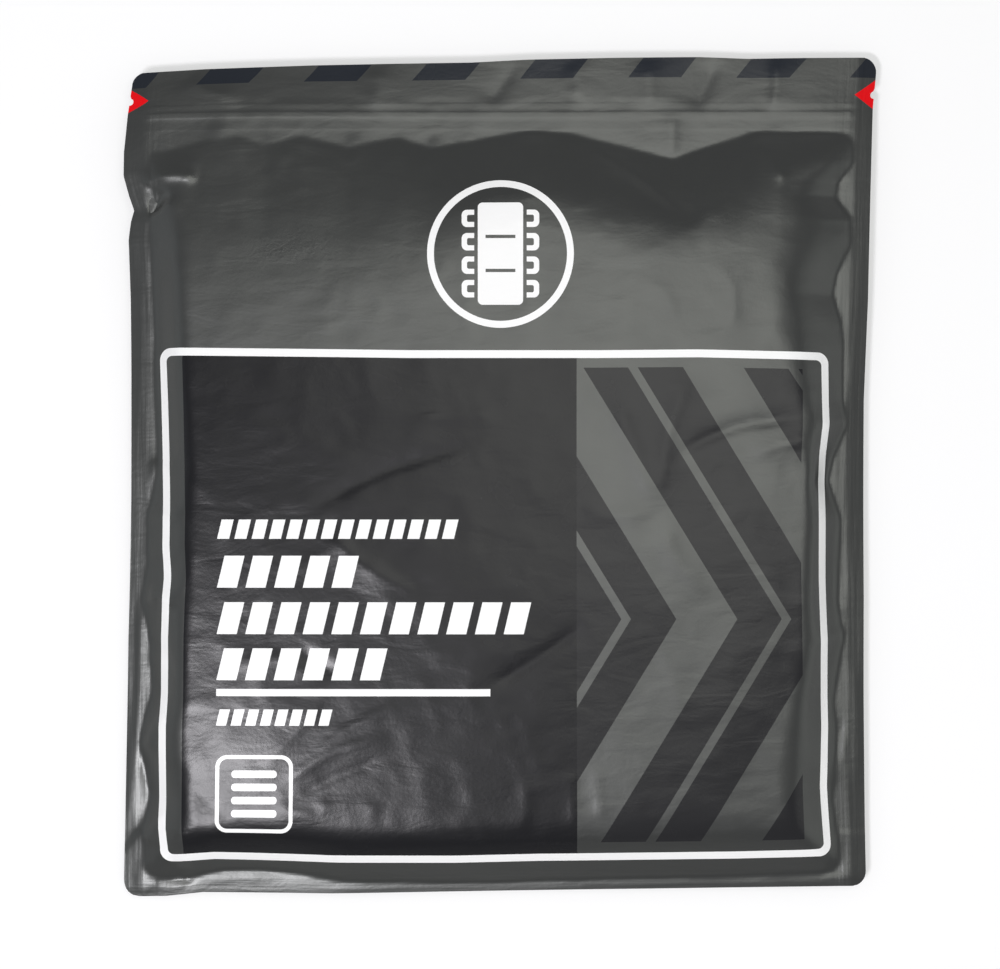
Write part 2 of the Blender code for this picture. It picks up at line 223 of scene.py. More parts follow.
def new_material(name: str) -> tuple[Material, NodeTree]:
    """Return a material without any nodes, and its node tree."""
    material = bpy.data.materials.new(name)
    material.use_nodes = True
    material.node_tree.nodes.clear()
    return material, material.node_tree


@dataclass(frozen=True)
class Pouch:
    """Sizes of the pouch, read from the solids that the frame holds."""

    half_width: float
    top: float
    bottom: float
    tear: float
    seal: float
    hinge: float
    crown: float
    floor: float
    rim: float
    zip_upper: float
    zip_lower: float
    zip_end: float
    gusset_apex: float
    corner: float = 5.0 * MM
    notch: float = 1.3 * MM
    pull_in: float = 1.9 * MM
    film: float = 0.2 * MM
    bottom_seal: float = 3.0 * MM

    @classmethod
    def from_frame(cls) -> "Pouch":
        """Read the sizes."""
        header_low, header_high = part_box("tear_strip_front")
        back_header_low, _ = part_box("tear_strip_back")
        lip_low, lip_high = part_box("front_lip")
        strip_low, strip_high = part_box("zip_tongue_strip")
        _, panel_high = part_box("front_panel")
        back_low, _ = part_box("back_panel")
        gusset_low, gusset_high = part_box("bottom_gusset")
        half_gap = (header_low.y - lip_high.y) / 2
        half_film = SOLID_FILM / 2
        return cls(
            half_width=header_high.x,
            top=header_high.y,
            bottom=gusset_low.y,
            tear=lip_high.y + half_gap,
            seal=lip_high.x + half_gap,
            hinge=lip_low.y,
            crown=panel_high.z - half_film,
            floor=back_low.z + half_film,
            rim=(header_high.z + back_header_low.z) / 2,
            zip_upper=strip_high.y,
            zip_lower=strip_low.y,
            zip_end=strip_high.x,
            gusset_apex=gusset_high.y,
        )

    def waist(self, y: ndarray) -> ndarray:
        """Share of its width that the pouch keeps at y, drawn in by the filling."""
        share = y / self.top
        return 1.0 - self.pull_in / self.half_width * np.maximum(1.0 - share * share, 0.0)

    def trimmed(self, x: ndarray, y: ndarray) -> ndarray:
        """Draw the side edges in round the corners and the tear notches.

        Args:
            x: plan places across, on a grid with straight sides.
            y: plan places along.

        Returns:
            The places across with the trimmed outline.
        """
        into_corner = np.clip(np.abs(y) - (self.top - self.corner), 0.0, self.corner)
        inset = self.corner - np.sqrt(self.corner**2 - into_corner**2)
        from_tear = np.clip(np.abs(y - self.tear), 0.0, self.notch)
        inset = inset + np.sqrt(self.notch**2 - from_tear**2)
        reach = 2 * self.corner
        near = np.clip((np.abs(x) - self.half_width + reach) / reach, 0.0, 1.0)
        return x - np.sign(x) * inset * near


@dataclass(frozen=True)
class Slope:
    """One side of the filling: where the film leaves the seal and where it levels out.

    The foot and the crest are (along, distance from the middle) points in millimetres. They
    wander, and so split the slope in the facets that a stiff film makes. The softness is a
    (along, share) line: at 0 the film is taut and leaves its foot with a sharp bend, at 1 it
    starts up slowly. The tail is a line of the same kind: at 1 the film rises steeply from its
    foot and then ever more slowly. The bow is how far a taut slope bulges: one of 0.5 levels
    out at the crest, and a lower one bends there.
    """

    side: Side
    foot: Points
    crest: Points
    softness: Points = STILL
    tail: Points = STILL
    bow: float = 0.5

    def rise(self, x: ndarray, y: ndarray) -> ndarray:
        """Share of the full height that this side lets the film have at each plan place."""
        level = self.side in (Side.LEFT, Side.RIGHT)
        along, out = (y, x) if level else (x, y)
        if self.side in (Side.LEFT, Side.BOTTOM):
            out = -out
        foot = on_line(self.foot, along) * MM
        crest = on_line(self.crest, along) * MM
        share = np.clip((foot - out) / (foot - crest), 0.0, 1.0)
        taut_rise = share * (1.0 + self.bow - self.bow * share * share)
        long_rise = 1.0 - (1.0 - share) ** 3
        taut_rise += on_line(self.tail, along) * (long_rise - taut_rise)
        return taut_rise + on_line(self.softness, along) * (ease(share) - taut_rise)


@dataclass(frozen=True)
class Crease:
    """A ridge, or with a height below zero a valley, along a path over the film.

    Sizes are in millimetres. The first width is on the left of the path as it is followed
    and the second on its right: unlike widths give the steep and the easy side that creased
    film has.
    """

    path: Points
    height: float
    widths: Pair
    fade: float = 0.3

    def lift(self, x: ndarray, y: ndarray) -> ndarray:
        """Height that the crease adds at each plan place."""
        lift = np.zeros_like(x)
        line = self.smooth_path()
        reach = CREASE_REACH * max(self.widths) * MM
        low, high = line.min(axis=0) - reach, line.max(axis=0) + reach
        near = (x > low[0]) & (x < high[0]) & (y > low[1]) & (y < high[1])
        if not near.any():
            return lift
        places = np.stack([x[near], y[near]], axis=1)
        best = np.full(len(places), np.inf)
        share = np.zeros(len(places))
        side = np.ones(len(places))
        for index, (start, end) in enumerate(zip(line[:-1], line[1:])):
            step = end - start
            offset = places - start
            along = np.clip(offset @ step / (step @ step), 0.0, 1.0)
            distance = np.linalg.norm(offset - along[:, None] * step, axis=1)
            closer = distance < best
            best[closer] = distance[closer]
            share[closer] = (index + along[closer]) / (len(line) - 1)
            cross = step[0] * offset[:, 1] - step[1] * offset[:, 0]
            side[closer] = np.sign(cross[closer])
        width = np.where(side > 0, self.widths[0], self.widths[1]) * MM
        blunt = CREASE_BLUNTNESS * min(self.widths) * MM
        profile = np.exp(-(np.sqrt(best**2 + blunt**2) - blunt) / width)
        ends = ease(share / self.fade) * ease((1.0 - share) / self.fade)
        lift[near] = self.height * MM * profile * ends
        return lift

    def smooth_path(self) -> ndarray:
        """Follow the path's points with a smooth curve, a Catmull-Rom spline."""
        points = np.array(self.path) * MM
        ghosts = np.vstack([2 * points[0] - points[1], points, 2 * points[-1] - points[-2]])
        line = []
        for a, b, c, d in zip(ghosts, ghosts[1:], ghosts[2:], ghosts[3:]):
            for t in np.linspace(0.0, 1.0, CURVE_STEPS, endpoint=False):
                bend = (2 * a - 5 * b + 4 * c - d) * t**2 + (3 * b - a - 3 * c + d) * t**3
                line.append(0.5 * (2 * b + (c - a) * t + bend))
        return np.array(line + [points[-1]])


@dataclass(frozen=True)
class Lump:
    """A broad soft rise of the filling under the film, in millimetres."""

    middle: Pair
    radii: Pair
    height: float

    def lift(self, x: ndarray, y: ndarray) -> ndarray:
        """Height that the lump adds at each plan place."""
        across = (x / MM - self.middle[0]) / self.radii[0]
        along = (y / MM - self.middle[1]) / self.radii[1]
        return self.height * MM * np.exp(-(across**2 + along**2))


@dataclass(frozen=True)
class Drift:
    """Sideways shift of the film in its own plane, from handling.

    Each level is a place across the shift and the shift, in millimetres, at places along it.
    Between two levels the shift passes smoothly from one to the next.
    """

    levels: tuple[tuple[float, Points], ...]

    def shift(self, across: ndarray, along: ndarray) -> ndarray:
        """Return the shift at each place."""
        ordered = sorted(self.levels)
        places = [level for level, _ in ordered]
        shifts = [on_line(points, along) for _, points in ordered]
        total = np.where(across / MM <= places[0], shifts[0], shifts[-1])
        for low, high, before, after in zip(places, places[1:], shifts, shifts[1:]):
            share = ease((across / MM - low) / (high - low))
            inside = (across / MM > low) & (across / MM <= high)
            total = np.where(inside, before + (after - before) * share, total)
        return total * MM


FOUR_SLOPES = (
    Slope(
        Side.LEFT,
        foot=(
            (-139, 118.5), (-122, 118.8), (-107.5, 116.6), (-90.7, 120.2), (-72, 116.4),
            (-52, 118.2), (-41.7, 120.4), (-27.6, 118.6), (-13.4, 119), (3.4, 115.6),
            (25, 116.2), (44, 115.8), (79, 117.6), (97, 116.6), (114, 118.6), (139, 119.2),
        ),
        crest=(
            (-139, 99), (-105, 101), (-85, 103), (-60, 103), (-40, 101), (0, 100), (40, 102),
            (70, 103), (95, 98), (139, 93),
        ),
        softness=((-139, 0.2), (-30, 0.3), (20, 0.6), (70, 0.6), (100, 0.3), (139, 0)),
    ),
    Slope(
        Side.RIGHT,
        foot=(
            (-139, 116.5), (-109, 113.6), (-95.8, 116), (-75.6, 114.2), (-55, 117.8),
            (-42, 116), (-15, 117), (-1.7, 112.6), (6, 114.2), (16.5, 118.4),
            (25.5, 117), (43.7, 116.8), (52, 115.6), (60.5, 112.8), (67, 114),
            (77.3, 118.4), (85.7, 118.6), (92.7, 113.4), (98, 114), (104.5, 118.8),
            (114, 119), (139, 119.2),
        ),
        crest=(
            (-139, 92), (-90, 95), (-60, 101), (0, 104), (28, 99), (48, 93), (90, 88),
            (139, 88),
        ),
        softness=((-139, 0.6), (-60, 0.7), (20, 0.6), (40, 0.3), (55, 0), (139, 0)),
    ),
    Slope(
        Side.TOP,
        foot=(
            (-119, 111.5), (-113, 108.5), (-98, 112), (-86.5, 113.2), (-78, 110),
            (-66, 113.4), (-50, 109.4), (-33, 112.8), (-22.7, 109), (9.7, 115),
            (25.3, 114), (59.1, 105.6), (86.5, 114.6), (119, 114.2),
        ),
        crest=(
            (-119, 48), (-90, 44), (-60, 44), (-36, 52), (-18, 69), (-4, 81), (10, 84),
            (25, 80), (41, 76), (59, 73), (66, 74), (70, 77), (85, 74), (98, 66), (119, 64),
        ),
        softness=((-119, 0.3), (-66, 0.2), (-30, 0.1), (-5, 0.1), (15, 0), (119, 0)),
        tail=(
            (-119, 1), (-60, 1), (-36, 0.8), (-18, 0.4), (-4, 0.1), (5, 0), (82, 0),
            (95, 0.6), (119, 1),
        ),
        bow=0.3,
    ),
    Slope(
        Side.BOTTOM,
        foot=(
            (-125, 133.5), (-104, 134), (-92, 132.2), (-80, 131.8), (-68, 132.6),
            (-50, 135), (0, 135.8), (60, 135), (125, 134),
        ),
        crest=((-125, 112), (-85, 113), (-60, 113), (-40, 114), (0, 113), (60, 111), (125, 108)),
    ),
)

FRONT_CREASES = tuple(Crease(*row) for row in (
    # Folds that start at the foot of the zip band
    (((59, 121), (59.2, 113), (59.1, 105.6)), 0.35, (1.2, 4), 0.25),
    (((25.3, 114), (45, 101), (62, 88), (67, 82)), -0.75, (5, 2.5)),
    (((86.5, 114.6), (92, 104), (98, 96)), 0.75, (4, 2.5)),
    (((9.7, 115), (14, 106), (12, 97)), 0.4, (3, 3)),
    (((-22, 114), (-20, 107), (-26, 101)), 0.3, (2, 3)),
    (((-50, 115), (-47, 108), (-52, 102)), 0.3, (2.5, 3.5)),
    (((-78, 114), (-74, 108), (-70, 103)), 0.2, (3, 4)),
    (((-98, 118), (-90, 112), (-84, 104)), 0.25, (4, 5)),
    # Crumple of the left side below the zip
    (((-119, 96.6), (-115, 99.4), (-108, 100.4), (-100, 98.8)), 1.1, (3.6, 1.5), 0.2),
    (((-119.6, 88.6), (-115, 90.6), (-112, 95.6)), -1.1, (1.8, 1.5), 0.2),
    (((-120, 85.6), (-113.6, 88.4), (-108, 94)), 0.9, (1.4, 3)),
    # Puckers of the left side
    (((-119.5, -12.6), (-113, -14.6), (-106, -11)), 1.05, (2, 3)),
    (((-120, -27.6), (-114, -26), (-108, -29)), 0.9, (3, 1.6)),
    (((-120.4, -41.7), (-115, -40), (-108, -44)), 1.35, (3, 1.8)),
    (((-119, 4.4), (-113, 2), (-107, 5)), 0.9, (1.6, 3)),
    (((-118.6, -55), (-112, -60), (-109, -70)), -0.75, (2, 2)),
    (((-120.6, -90.7), (-116, -86), (-110, -78)), 1, (3, 2)),
    (((-120.6, -91.5), (-115.6, -98), (-113.6, -107), (-117, -119)), -0.5, (2.2, 3)),
    (((-119, -123), (-115, -117), (-110, -112)), 1.05, (2.4, 1.8)),
    # Puckers of the right side
    (((119, 104.5), (113.4, 101), (106, 103)), 0.2, (3, 3.4)),
    (((118.4, 81.6), (112, 80), (103, 84)), 0.25, (3.4, 3)),
    (((118.6, 16), (113, 18), (107, 14)), 0.75, (2, 3)),
    (((118, -55), (113, -54), (106, -58)), 0.75, (2.6, 2)),
    (((117.7, -79.3), (115, -92), (112.4, -101)), -0.35, (1.8, 2.4)),
    (((118.6, -82), (116.6, -95), (114.6, -104)), 0.3, (2, 2)),
    # Corner seal of the gusset at the bottom left
    (((-119.1, -121), (-110.4, -127.2), (-108, -130.6), (-105, -133)), -0.7, (1.8, 2.6)),
    (((-104.5, -129.4), (-104.3, -136.2)), -0.5, (1.6, 4), 0.2),
    (((108, -128.5), (112, -132), (118, -134)), -0.35, (2.4, 2.4)),
    # Long creases over the filling
    (((-66.4, -13.4), (-38, 1), (0.8, 12.4)), -0.48, (2.6, 1.3)),
    (((-58.6, -17.5), (-45.9, -28.9), (-25, -40.3)), 0.51, (2, 5)),
    (((-31.8, 17.8), (-15, 19.6), (3, 20.2)), 0.3, (2, 4)),
    (((-5, -72), (14.3, -60.5), (31, -48.5)), -0.51, (2.6, 1.5)),
    (((-74.4, -103.8), (-56.3, -92.4), (-35.5, -85.7)), 0.32, (0.9, 2.2)),
    (((-70, -109), (-52, -99.6), (-33, -93)), -0.22, (1.4, 0.9)),
    (((-66, -96), (-50, -84), (-28, -73)), 0.26, (0.9, 2.4)),
    (((-80, -98), (-66, -84), (-56, -70)), 0.2, (2, 0.9)),
    (((-90, -64), (-76, -60), (-60, -66)), 0.24, (0.9, 2)),
    (((-68, -57.6), (-60, -62), (-53, -67)), -0.45, (1.4, 2.4)),
    (((-75, -108), (-68, -112), (-60, -111)), 0.18, (2, 3.2)),
    (((-64, -107.5), (-56, -110.5), (-47, -108.5)), 0.16, (2, 3)),
    (((-50, -112), (-44, -110), (-38, -112.5)), 0.14, (2, 3)),
    (((54, -12), (46, 8), (38.8, 27)), 0.45, (2.4, 3)),
    (((54, -12), (57, 12), (66, 36)), 0.39, (3, 2.6)),
    (((57, 5), (80, 15.6), (108, 20)), -0.6, (2.8, 1.5)),
    (((54, -12), (38, -14), (28, -9)), 0.33, (3, 3)),
    (((54, -12), (60, -28), (72, -40)), 0.36, (3, 2.4)),
    (((84, 6), (96, 10), (109, 13)), 0.45, (3, 1.8)),
    (((24, -97), (25.4, -108), (24.6, -119)), 0.2, (1.2, 2.4)),
    (((33, -95), (33.6, -106), (35, -116)), 0.16, (2, 1.2)),
    (((8, -100), (10, -110), (7, -120)), 0.16, (1.4, 2.4)),
    (((73, 71), (78.4, 63), (79, 54), (75, 45)), 0.3, (3, 1.3)),
    (((46, 66), (56, 60), (60, 50)), 0.16, (2, 2.6)),
))

# Waves that both films of the header take together
RIM_CREASES = tuple(Crease(*row) for row in (
    (((-3.5, 123), (1, 129.5), (7, 138)), -0.35, (3, 2)),
    (((50, 139), (51, 130), (51, 122)), 0.45, (4, 4)),
    (((66, 121), (69.5, 129), (75, 139)), -0.45, (4, 2)),
    (((93, 140), (93.5, 130), (92, 121)), 0.45, (6, 1.6)),
    (((-42, 139), (-40, 130), (-44, 122)), 0.4, (5, 4)),
    (((-104, 137), (-98, 130), (-84, 126)), 0.5, (3, 5)),
    (((24, 138), (27, 131), (25, 125)), 0.35, (4, 3)),
    # Ridges that run along the left seal, and the inner edge of the bottom seal
    (((-120.6, -40), (-121.2, -70), (-121.4, -112)), 0.32, (0.7, 1.4), 0.2),
    (((-123.4, -84), (-123.2, -100), (-122.6, -118)), 0.2, (0.7, 0.7)),
    (((-119.6, -90), (-118.6, -106), (-120.2, -120)), -0.4, (2.4, 1)),
    (((-122.6, -36), (-122.8, -60), (-122.4, -86)), -0.2, (1, 1)),
    (((-116.6, 92), (-117.4, 60), (-116.4, 24), (-117.6, -8)), 0.14, (1.4, 2), 0.1),
    (((-121.6, 70), (-121.2, 44), (-121.8, 12)), 0.2, (0.7, 1)),
    (((-108, -136.4), (-40, -136.2), (40, -136), (112, -135.8)), -0.22, (0.5, 0.5), 0.02),
    (((-121.4, -119), (-115, -123.6), (-109.4, -127.4)), 0.7, (1.6, 6), 0.12),
    (((-121, -128.6), (-115.4, -131.6), (-112, -136.6)), 0.2, (1.6, 2.6)),
    (((-122, -134.6), (-117.6, -133.8), (-113, -135.6)), 0.16, (1.2, 1.6)),
    (((121, -60), (122, -84), (121.4, -110)), 0.2, (1.4, 0.9)),
))

LUMPS = tuple(Lump(*row) for row in (
    ((-80, -84), (26, 30), 0.5),
    ((48, -30), (22, 26), 0.35),
    ((60, 72), (26, 20), 0.35),
    ((-40, 60), (40, 24), 0.25),
    ((-10, -40), (36, 30), 0.25),
    ((84, -70), (18, 34), 0.3),
))

# The filling holds the zip up in its middle and the seals up at their sides
RIM_LUMPS = tuple(Lump(*row) for row in (
    ((-8, 124), (112, 84), 2.4),
    ((-90, 97), (52, 40), 1.6),
    ((-82, 108), (60, 28), 1.6),
    ((104, 56), (30, 90), 1.6),
    ((-104, 50), (30, 90), 1.3),
    ((-104, -64), (30, 70), 0.8),
))

# Shift across, by the place across: the two edges, the two sides of the printed frame
DRIFT_ACROSS = Drift((
    (-125, (
        (-139, -0.8), (-109, -0.9), (-55, -0.8), (-28, -0.3), (-8, 0), (59, 0.2), (79, -0.1),
        (85, 0.8), (89, 2), (94, 0.4), (101, -1.3), (109, -1), (124, 0.8), (134, 2.2),
    )),
    (-111, (
        (-124, 0.8), (-118, 0), (-84, -0.3), (-74, 0.1), (-54, 0), (-44, 0.4), (-34, 1),
        (-23, 0.3), (-13, 0.5), (7, 0), (25, -0.4), (37, -0.8), (80, 0), (130, 1),
    )),
    (-96, STILL),
    (96, STILL),
    (109, (
        (-124, 0.5), (-104, -0.4), (-84, 0.3), (-54, 0), (-34, -0.5), (-3, -0.5), (7, -0.2),
        (17, 0.8), (37, 0.5), (90, 0.6), (130, 1.6),
    )),
    (125, (
        (-126, -0.9), (-75, -0.5), (-42, -0.1), (25, 0), (59, 1.1), (92, 1.3), (123, 1.6),
        (135, 2.6),
    )),
))

# Shift along, by the place along: the bottom edge, the printed frame, the zip, the top edge
DRIFT_ALONG = Drift((
    (-139, (
        (-124, -2.6), (-112, -2.4), (-99, -1.1), (-56, -1.5), (-10, -0.8), (34, -0.1), (115, 0.9),
    )),
    (-128, (
        (-108, -0.5), (-95, 0.3), (-55, -0.7), (-14, -0.7), (13, -0.1), (80, 0.5),
        (107, 1.1),
    )),
    (-110, STILL),
    (20, STILL),
    (40, ((-110, 0.9), (-60, 0.3), (-29, -0.1), (34, -0.1), (68, 0.2), (105, -0.6))),
    (70, STILL),
    (121, ((-125, -1.2), (-112, -0.6), (-80, -0.1), (0, 0), (60, 0.3), (125, 0.3))),
    (127.3, ((-125, -2.5), (-112, -1.6), (-80, -0.4), (0, 0), (60, 0.3), (125, 0.3))),
    (139, (
        (-120, -4.1), (-98, -2.9), (-62, -1.6), (-39, -1.1), (-9, -0.6), (10, 0.4), (41, 1.1),
        (68, 1.4), (84, 0.8), (102, 1.1), (122, 1.3),
    )),
))


@dataclass
class FilmForm:
    """Shape of the two films, from one set of slopes, creases and shifts."""

    pouch: Pouch
    slopes: tuple[Slope, ...] = FOUR_SLOPES
    creases: tuple[Crease, ...] = FRONT_CREASES
    lumps: tuple[Lump, ...] = LUMPS
    rim_creases: tuple[Crease, ...] = RIM_CREASES
    rim_lumps: tuple[Lump, ...] = RIM_LUMPS
    track_half_width: float = 1.1 * MM
    track: float = 120.7 * MM
    flange_rise: float = 0.15 * MM
    track_rise: float = 0.5 * MM
    rim_wave: float = 0.7 * MM
    rim_noise: Noise = Noise(46 * MM, 5)
    side_droop: float = 0.16
    header_droop: float = 0.045
    bottom_droop: float = 0.17
    zip_on_front: float = 0.2
    zip_step: float = 0.5 * MM
    track_step: float = 1.0 * MM
    zip_fade: Pair = (3 * MM, 5 * MM)
    crumple: float = 0.16 * MM
    broad_noise: Noise = Noise(17 * MM, 11)
    fine_noise: Noise = Noise(7 * MM, 12)
    fine_skew: Pair = (0.4, -0.3)
    pucker: float = 4.8 * MM
    pucker_noise: Noise = Noise(13 * MM, 21)
    crinkle_height: float = 0.9
    crinkle_reach: Pair = (0.01, 0.07)
    crinkle_spread: float = 0.6
    crinkle_noise: Noise = Noise(34 * MM, 41)
    seal_fade: Pair = (1.5 * MM, 0.5 * MM)
    low_seal_fade: float = 1.0 * MM
    top_fade: float = 3.0 * MM
    gusset_fade: float = 3.0 * MM
    film_gap: float = 0.02 * MM
    corner_sharpness: float = 9.0
    dome: float = 1.8 * MM
    dome_reach: float = 100 * MM

    def filling(self, x: ndarray, y: ndarray) -> ndarray:
        """Share of the full height at each plan place: the least that any side allows."""
        rises = np.stack([slope.rise(x, y) for slope in self.slopes])
        sharpness = self.corner_sharpness
        soft = -np.log(np.exp(-sharpness * rises).sum(axis=0)) / sharpness
        top = -np.log(len(self.slopes) * np.exp(-sharpness)) / sharpness
        return np.clip(soft / top, 0.0, None)

    def level(self, x: ndarray, y: ndarray, front: bool) -> ndarray:
        """Height of a film over the filling, without its folds.

        Args:
            x: plan places across.
            y: plan places along.
            front: whether it is the front film, over a filling that is thickest in its middle.

        Returns:
            The height of the film's middle at each place.
        """
        pouch = self.pouch
        side = 1.0 if front else -1.0
        zip_share = self.zip_on_front if front else 2.0 - self.zip_on_front
        spread = self.seal_spread(y) + zip_share * self.zip_rise(x, y)
        rim = pouch.rim + self.wave(x, y) + side * spread
        if not front:
            return rim + self.filling(-x, y) * (pouch.floor - rim)
        middle = (pouch.tear + pouch.bottom) / 2
        away = (x / self.dome_reach) ** 2 + ((y - middle) / self.dome_reach) ** 2
        crown = pouch.crown - self.dome * np.minimum(away, 2.0)
        return rim + self.filling(x, y) * (crown - rim)

    def wave(self, x: ndarray, y: ndarray) -> ndarray:
        """Rise and fall of the sealed rim, shared by both films: its free edges hang."""
        pouch = self.pouch
        total = self.rim_wave * self.rim_noise.at(x, y)
        total -= self.side_droop * np.maximum(np.abs(x) - pouch.seal, 0.0)
        total -= self.header_droop * np.maximum(y - pouch.zip_upper, 0.0)
        total -= self.bottom_droop * np.maximum(pouch.bottom + pouch.bottom_seal - y, 0.0)
        for feature in (*self.rim_creases, *self.rim_lumps):
            total += feature.lift(x, y)
        return total

    def zip_rise(self, x: ndarray, y: ndarray) -> ndarray:
        """Height that the zip strips hold the front film off the rim."""
        pouch, step = self.pouch, self.zip_step
        band = ease((y - pouch.zip_lower) / step + 0.5) * ease((pouch.zip_upper - y) / step + 0.5)
        off_track = np.abs(y - self.track) - self.track_half_width
        track = 1.0 - ease(off_track / self.track_step + 0.5)
        ends = fall(np.abs(x), *(pouch.zip_end + past for past in self.zip_fade))
        return ends * (self.flange_rise * band + self.track_rise * track)

    def plane(self, x: ndarray, y: ndarray) -> tuple[ndarray, ndarray]:
        """Where a plan place lies, seen from above, on a handled and filled pouch."""
        across = x * self.pouch.waist(y) + DRIFT_ACROSS.shift(x, y)
        return across, y + DRIFT_ALONG.shift(y, x)

    def folds(self, x: ndarray, y: ndarray) -> ndarray:
        """Height that creases, lumps and fine crumpling add to the front film."""
        total = np.zeros_like(x)
        for feature in (*self.creases, *self.lumps):
            total += feature.lift(x, y)
        broad = 1.0 - np.abs(self.broad_noise.at(x, y))
        skew = self.fine_skew
        fine = 1.0 - np.abs(self.fine_noise.at(x + skew[0] * y, y + skew[1] * x))
        return total + self.crumple * (broad + 0.5 * fine - 1.0)

    def crinkle(self, x: ndarray, y: ndarray) -> ndarray:
        """Share of fine crinkling: most where the film bends over the filling's edge."""
        over_edge = fall(np.abs(self.filling(x, y) - self.crinkle_height), *self.crinkle_reach)
        return over_edge * ease(self.crinkle_noise.at(x, y) + self.crinkle_spread)

    def inside_seals(self, x: ndarray, y: ndarray) -> ndarray:
        """1 where the films are free, falling to 0 over the heat seals round them."""
        pouch = self.pouch
        sides = fall(np.abs(x), pouch.seal - self.seal_fade[0], pouch.seal + self.seal_fade[1])
        low_seal = pouch.bottom + pouch.bottom_seal
        low_end = 1.0 - fall(y, low_seal - self.low_seal_fade, low_seal + self.low_seal_fade)
        return sides * low_end * fall(y, pouch.tear - self.top_fade, pouch.tear)

    def seal_spread(self, y: ndarray) -> ndarray:
        """Half the distance between the films at the rim, wider where the gusset lies."""
        apex = self.pouch.gusset_apex
        over_gusset = fall(y, apex, apex + self.gusset_fade)
        return self.layer() * (0.5 + over_gusset)

    def layer(self) -> float:
        """Distance from one film to the next where they are sealed together."""
        return self.pouch.film + self.film_gap

    def front(self, x: ndarray, y: ndarray) -> ndarray:
        """Place of the front film's middle at each plan place."""
        height = self.level(x, y, front=True) + self.inside_seals(x, y) * self.folds(x, y)
        return np.stack([*self.plane(x, y), height], axis=1)

    def back(self, x: ndarray, y: ndarray) -> ndarray:
        """Place of the back film's middle: flat where it rests, puckered on its slopes."""
        share = self.filling(-x, y)
        pucker = self.pucker * self.pucker_noise.at(x, y) * share * (1.0 - share)
        height = self.level(x, y, front=False) + self.inside_seals(x, y) * pucker
        floor = self.pouch.film / 2
        return np.stack([*self.plane(x, y), np.maximum(height, floor)], axis=1)


def grid_mesh(
    name: str,
    columns: ndarray,
    rows: ndarray,
    place: OnPlaces,
    outline: Pouch | None = None,
    crinkle: OnPlaces | None = None,
) -> Mesh:
    """Make a sheet from a grid whose crossings a function puts in place.

    Args:
        name: name of the mesh.
        columns: flat places across, one for each line of the grid.
        rows: flat places along, one for each line of the grid.
        place: gives the points for arrays of places across and along.
        outline: pouch whose trimmed outline the sheet has.
        crinkle: gives how much the sheet crinkles there, kept as an attribute of that name.

    Returns:
        A mesh with the flat places as its UV map, named flat.
    """
    shape = bmesh.new()
    steps_across, steps_along = len(columns) - 1, len(rows) - 1
    bmesh.ops.create_grid(shape, x_segments=steps_across, y_segments=steps_along, size=1.0)
    mesh = bpy.data.meshes.new(name)
    shape.to_mesh(mesh)
    shape.free()
    corners = np.empty(len(mesh.vertices) * 3)
    mesh.vertices.foreach_get("co", corners)
    share = (corners.reshape(-1, 3) + 1.0) / 2.0
    across = columns[np.rint(share[:, 0] * steps_across).astype(int)]
    along = rows[np.rint(share[:, 1] * steps_along).astype(int)]
    if outline:
        across = outline.trimmed(across, along)
    mesh.vertices.foreach_set("co", place(across, along).ravel())
    if crinkle:
        weights = mesh.attributes.new("crinkle", "FLOAT", "POINT")
        weights.data.foreach_set("value", crinkle(across, along))
    loops = np.empty(len(mesh.loops), int)
    mesh.loops.foreach_get("vertex_index", loops)
    flat = np.stack([across[loops], along[loops]], axis=1)
    mesh.uv_layers.new(name="flat").data.foreach_set("uv", flat.ravel())
    mesh.update()
    return mesh


@dataclass
class Sheet:
    """A thin piece that is made as a surface and then given its thickness."""

    name: str
    mesh: Mesh
    thickness: float
    outer: Material
    inner: Material | None = None
    faces_down: bool = False
    sharp_angle: float = 62.0

    def build(self) -> Object:
        """Turn the surface to face outwards, thicken it and make it an object."""
        if self.faces_down:
            self.mesh.flip_normals()
        self.mesh.materials.append(self.outer)
        self.mesh.materials.append(self.inner or self.outer)
        piece = add_object(self.name, self.mesh)
        wall = piece.modifiers.new("wall", "SOLIDIFY")
        wall.thickness = self.thickness
        wall.offset = 0.0
        wall.use_even_offset = False
        wall.material_offset = 1
        depsgraph = bpy.context.evaluated_depsgraph_get()
        solid = bpy.data.meshes.new_from_object(piece.evaluated_get(depsgraph))
        piece.modifiers.clear()
        piece.data = solid
        solid.name = self.name
        bpy.data.meshes.remove(self.mesh)
        solid.shade_smooth()
        solid.set_sharp_from_angle(angle=radians(self.sharp_angle))
        return piece


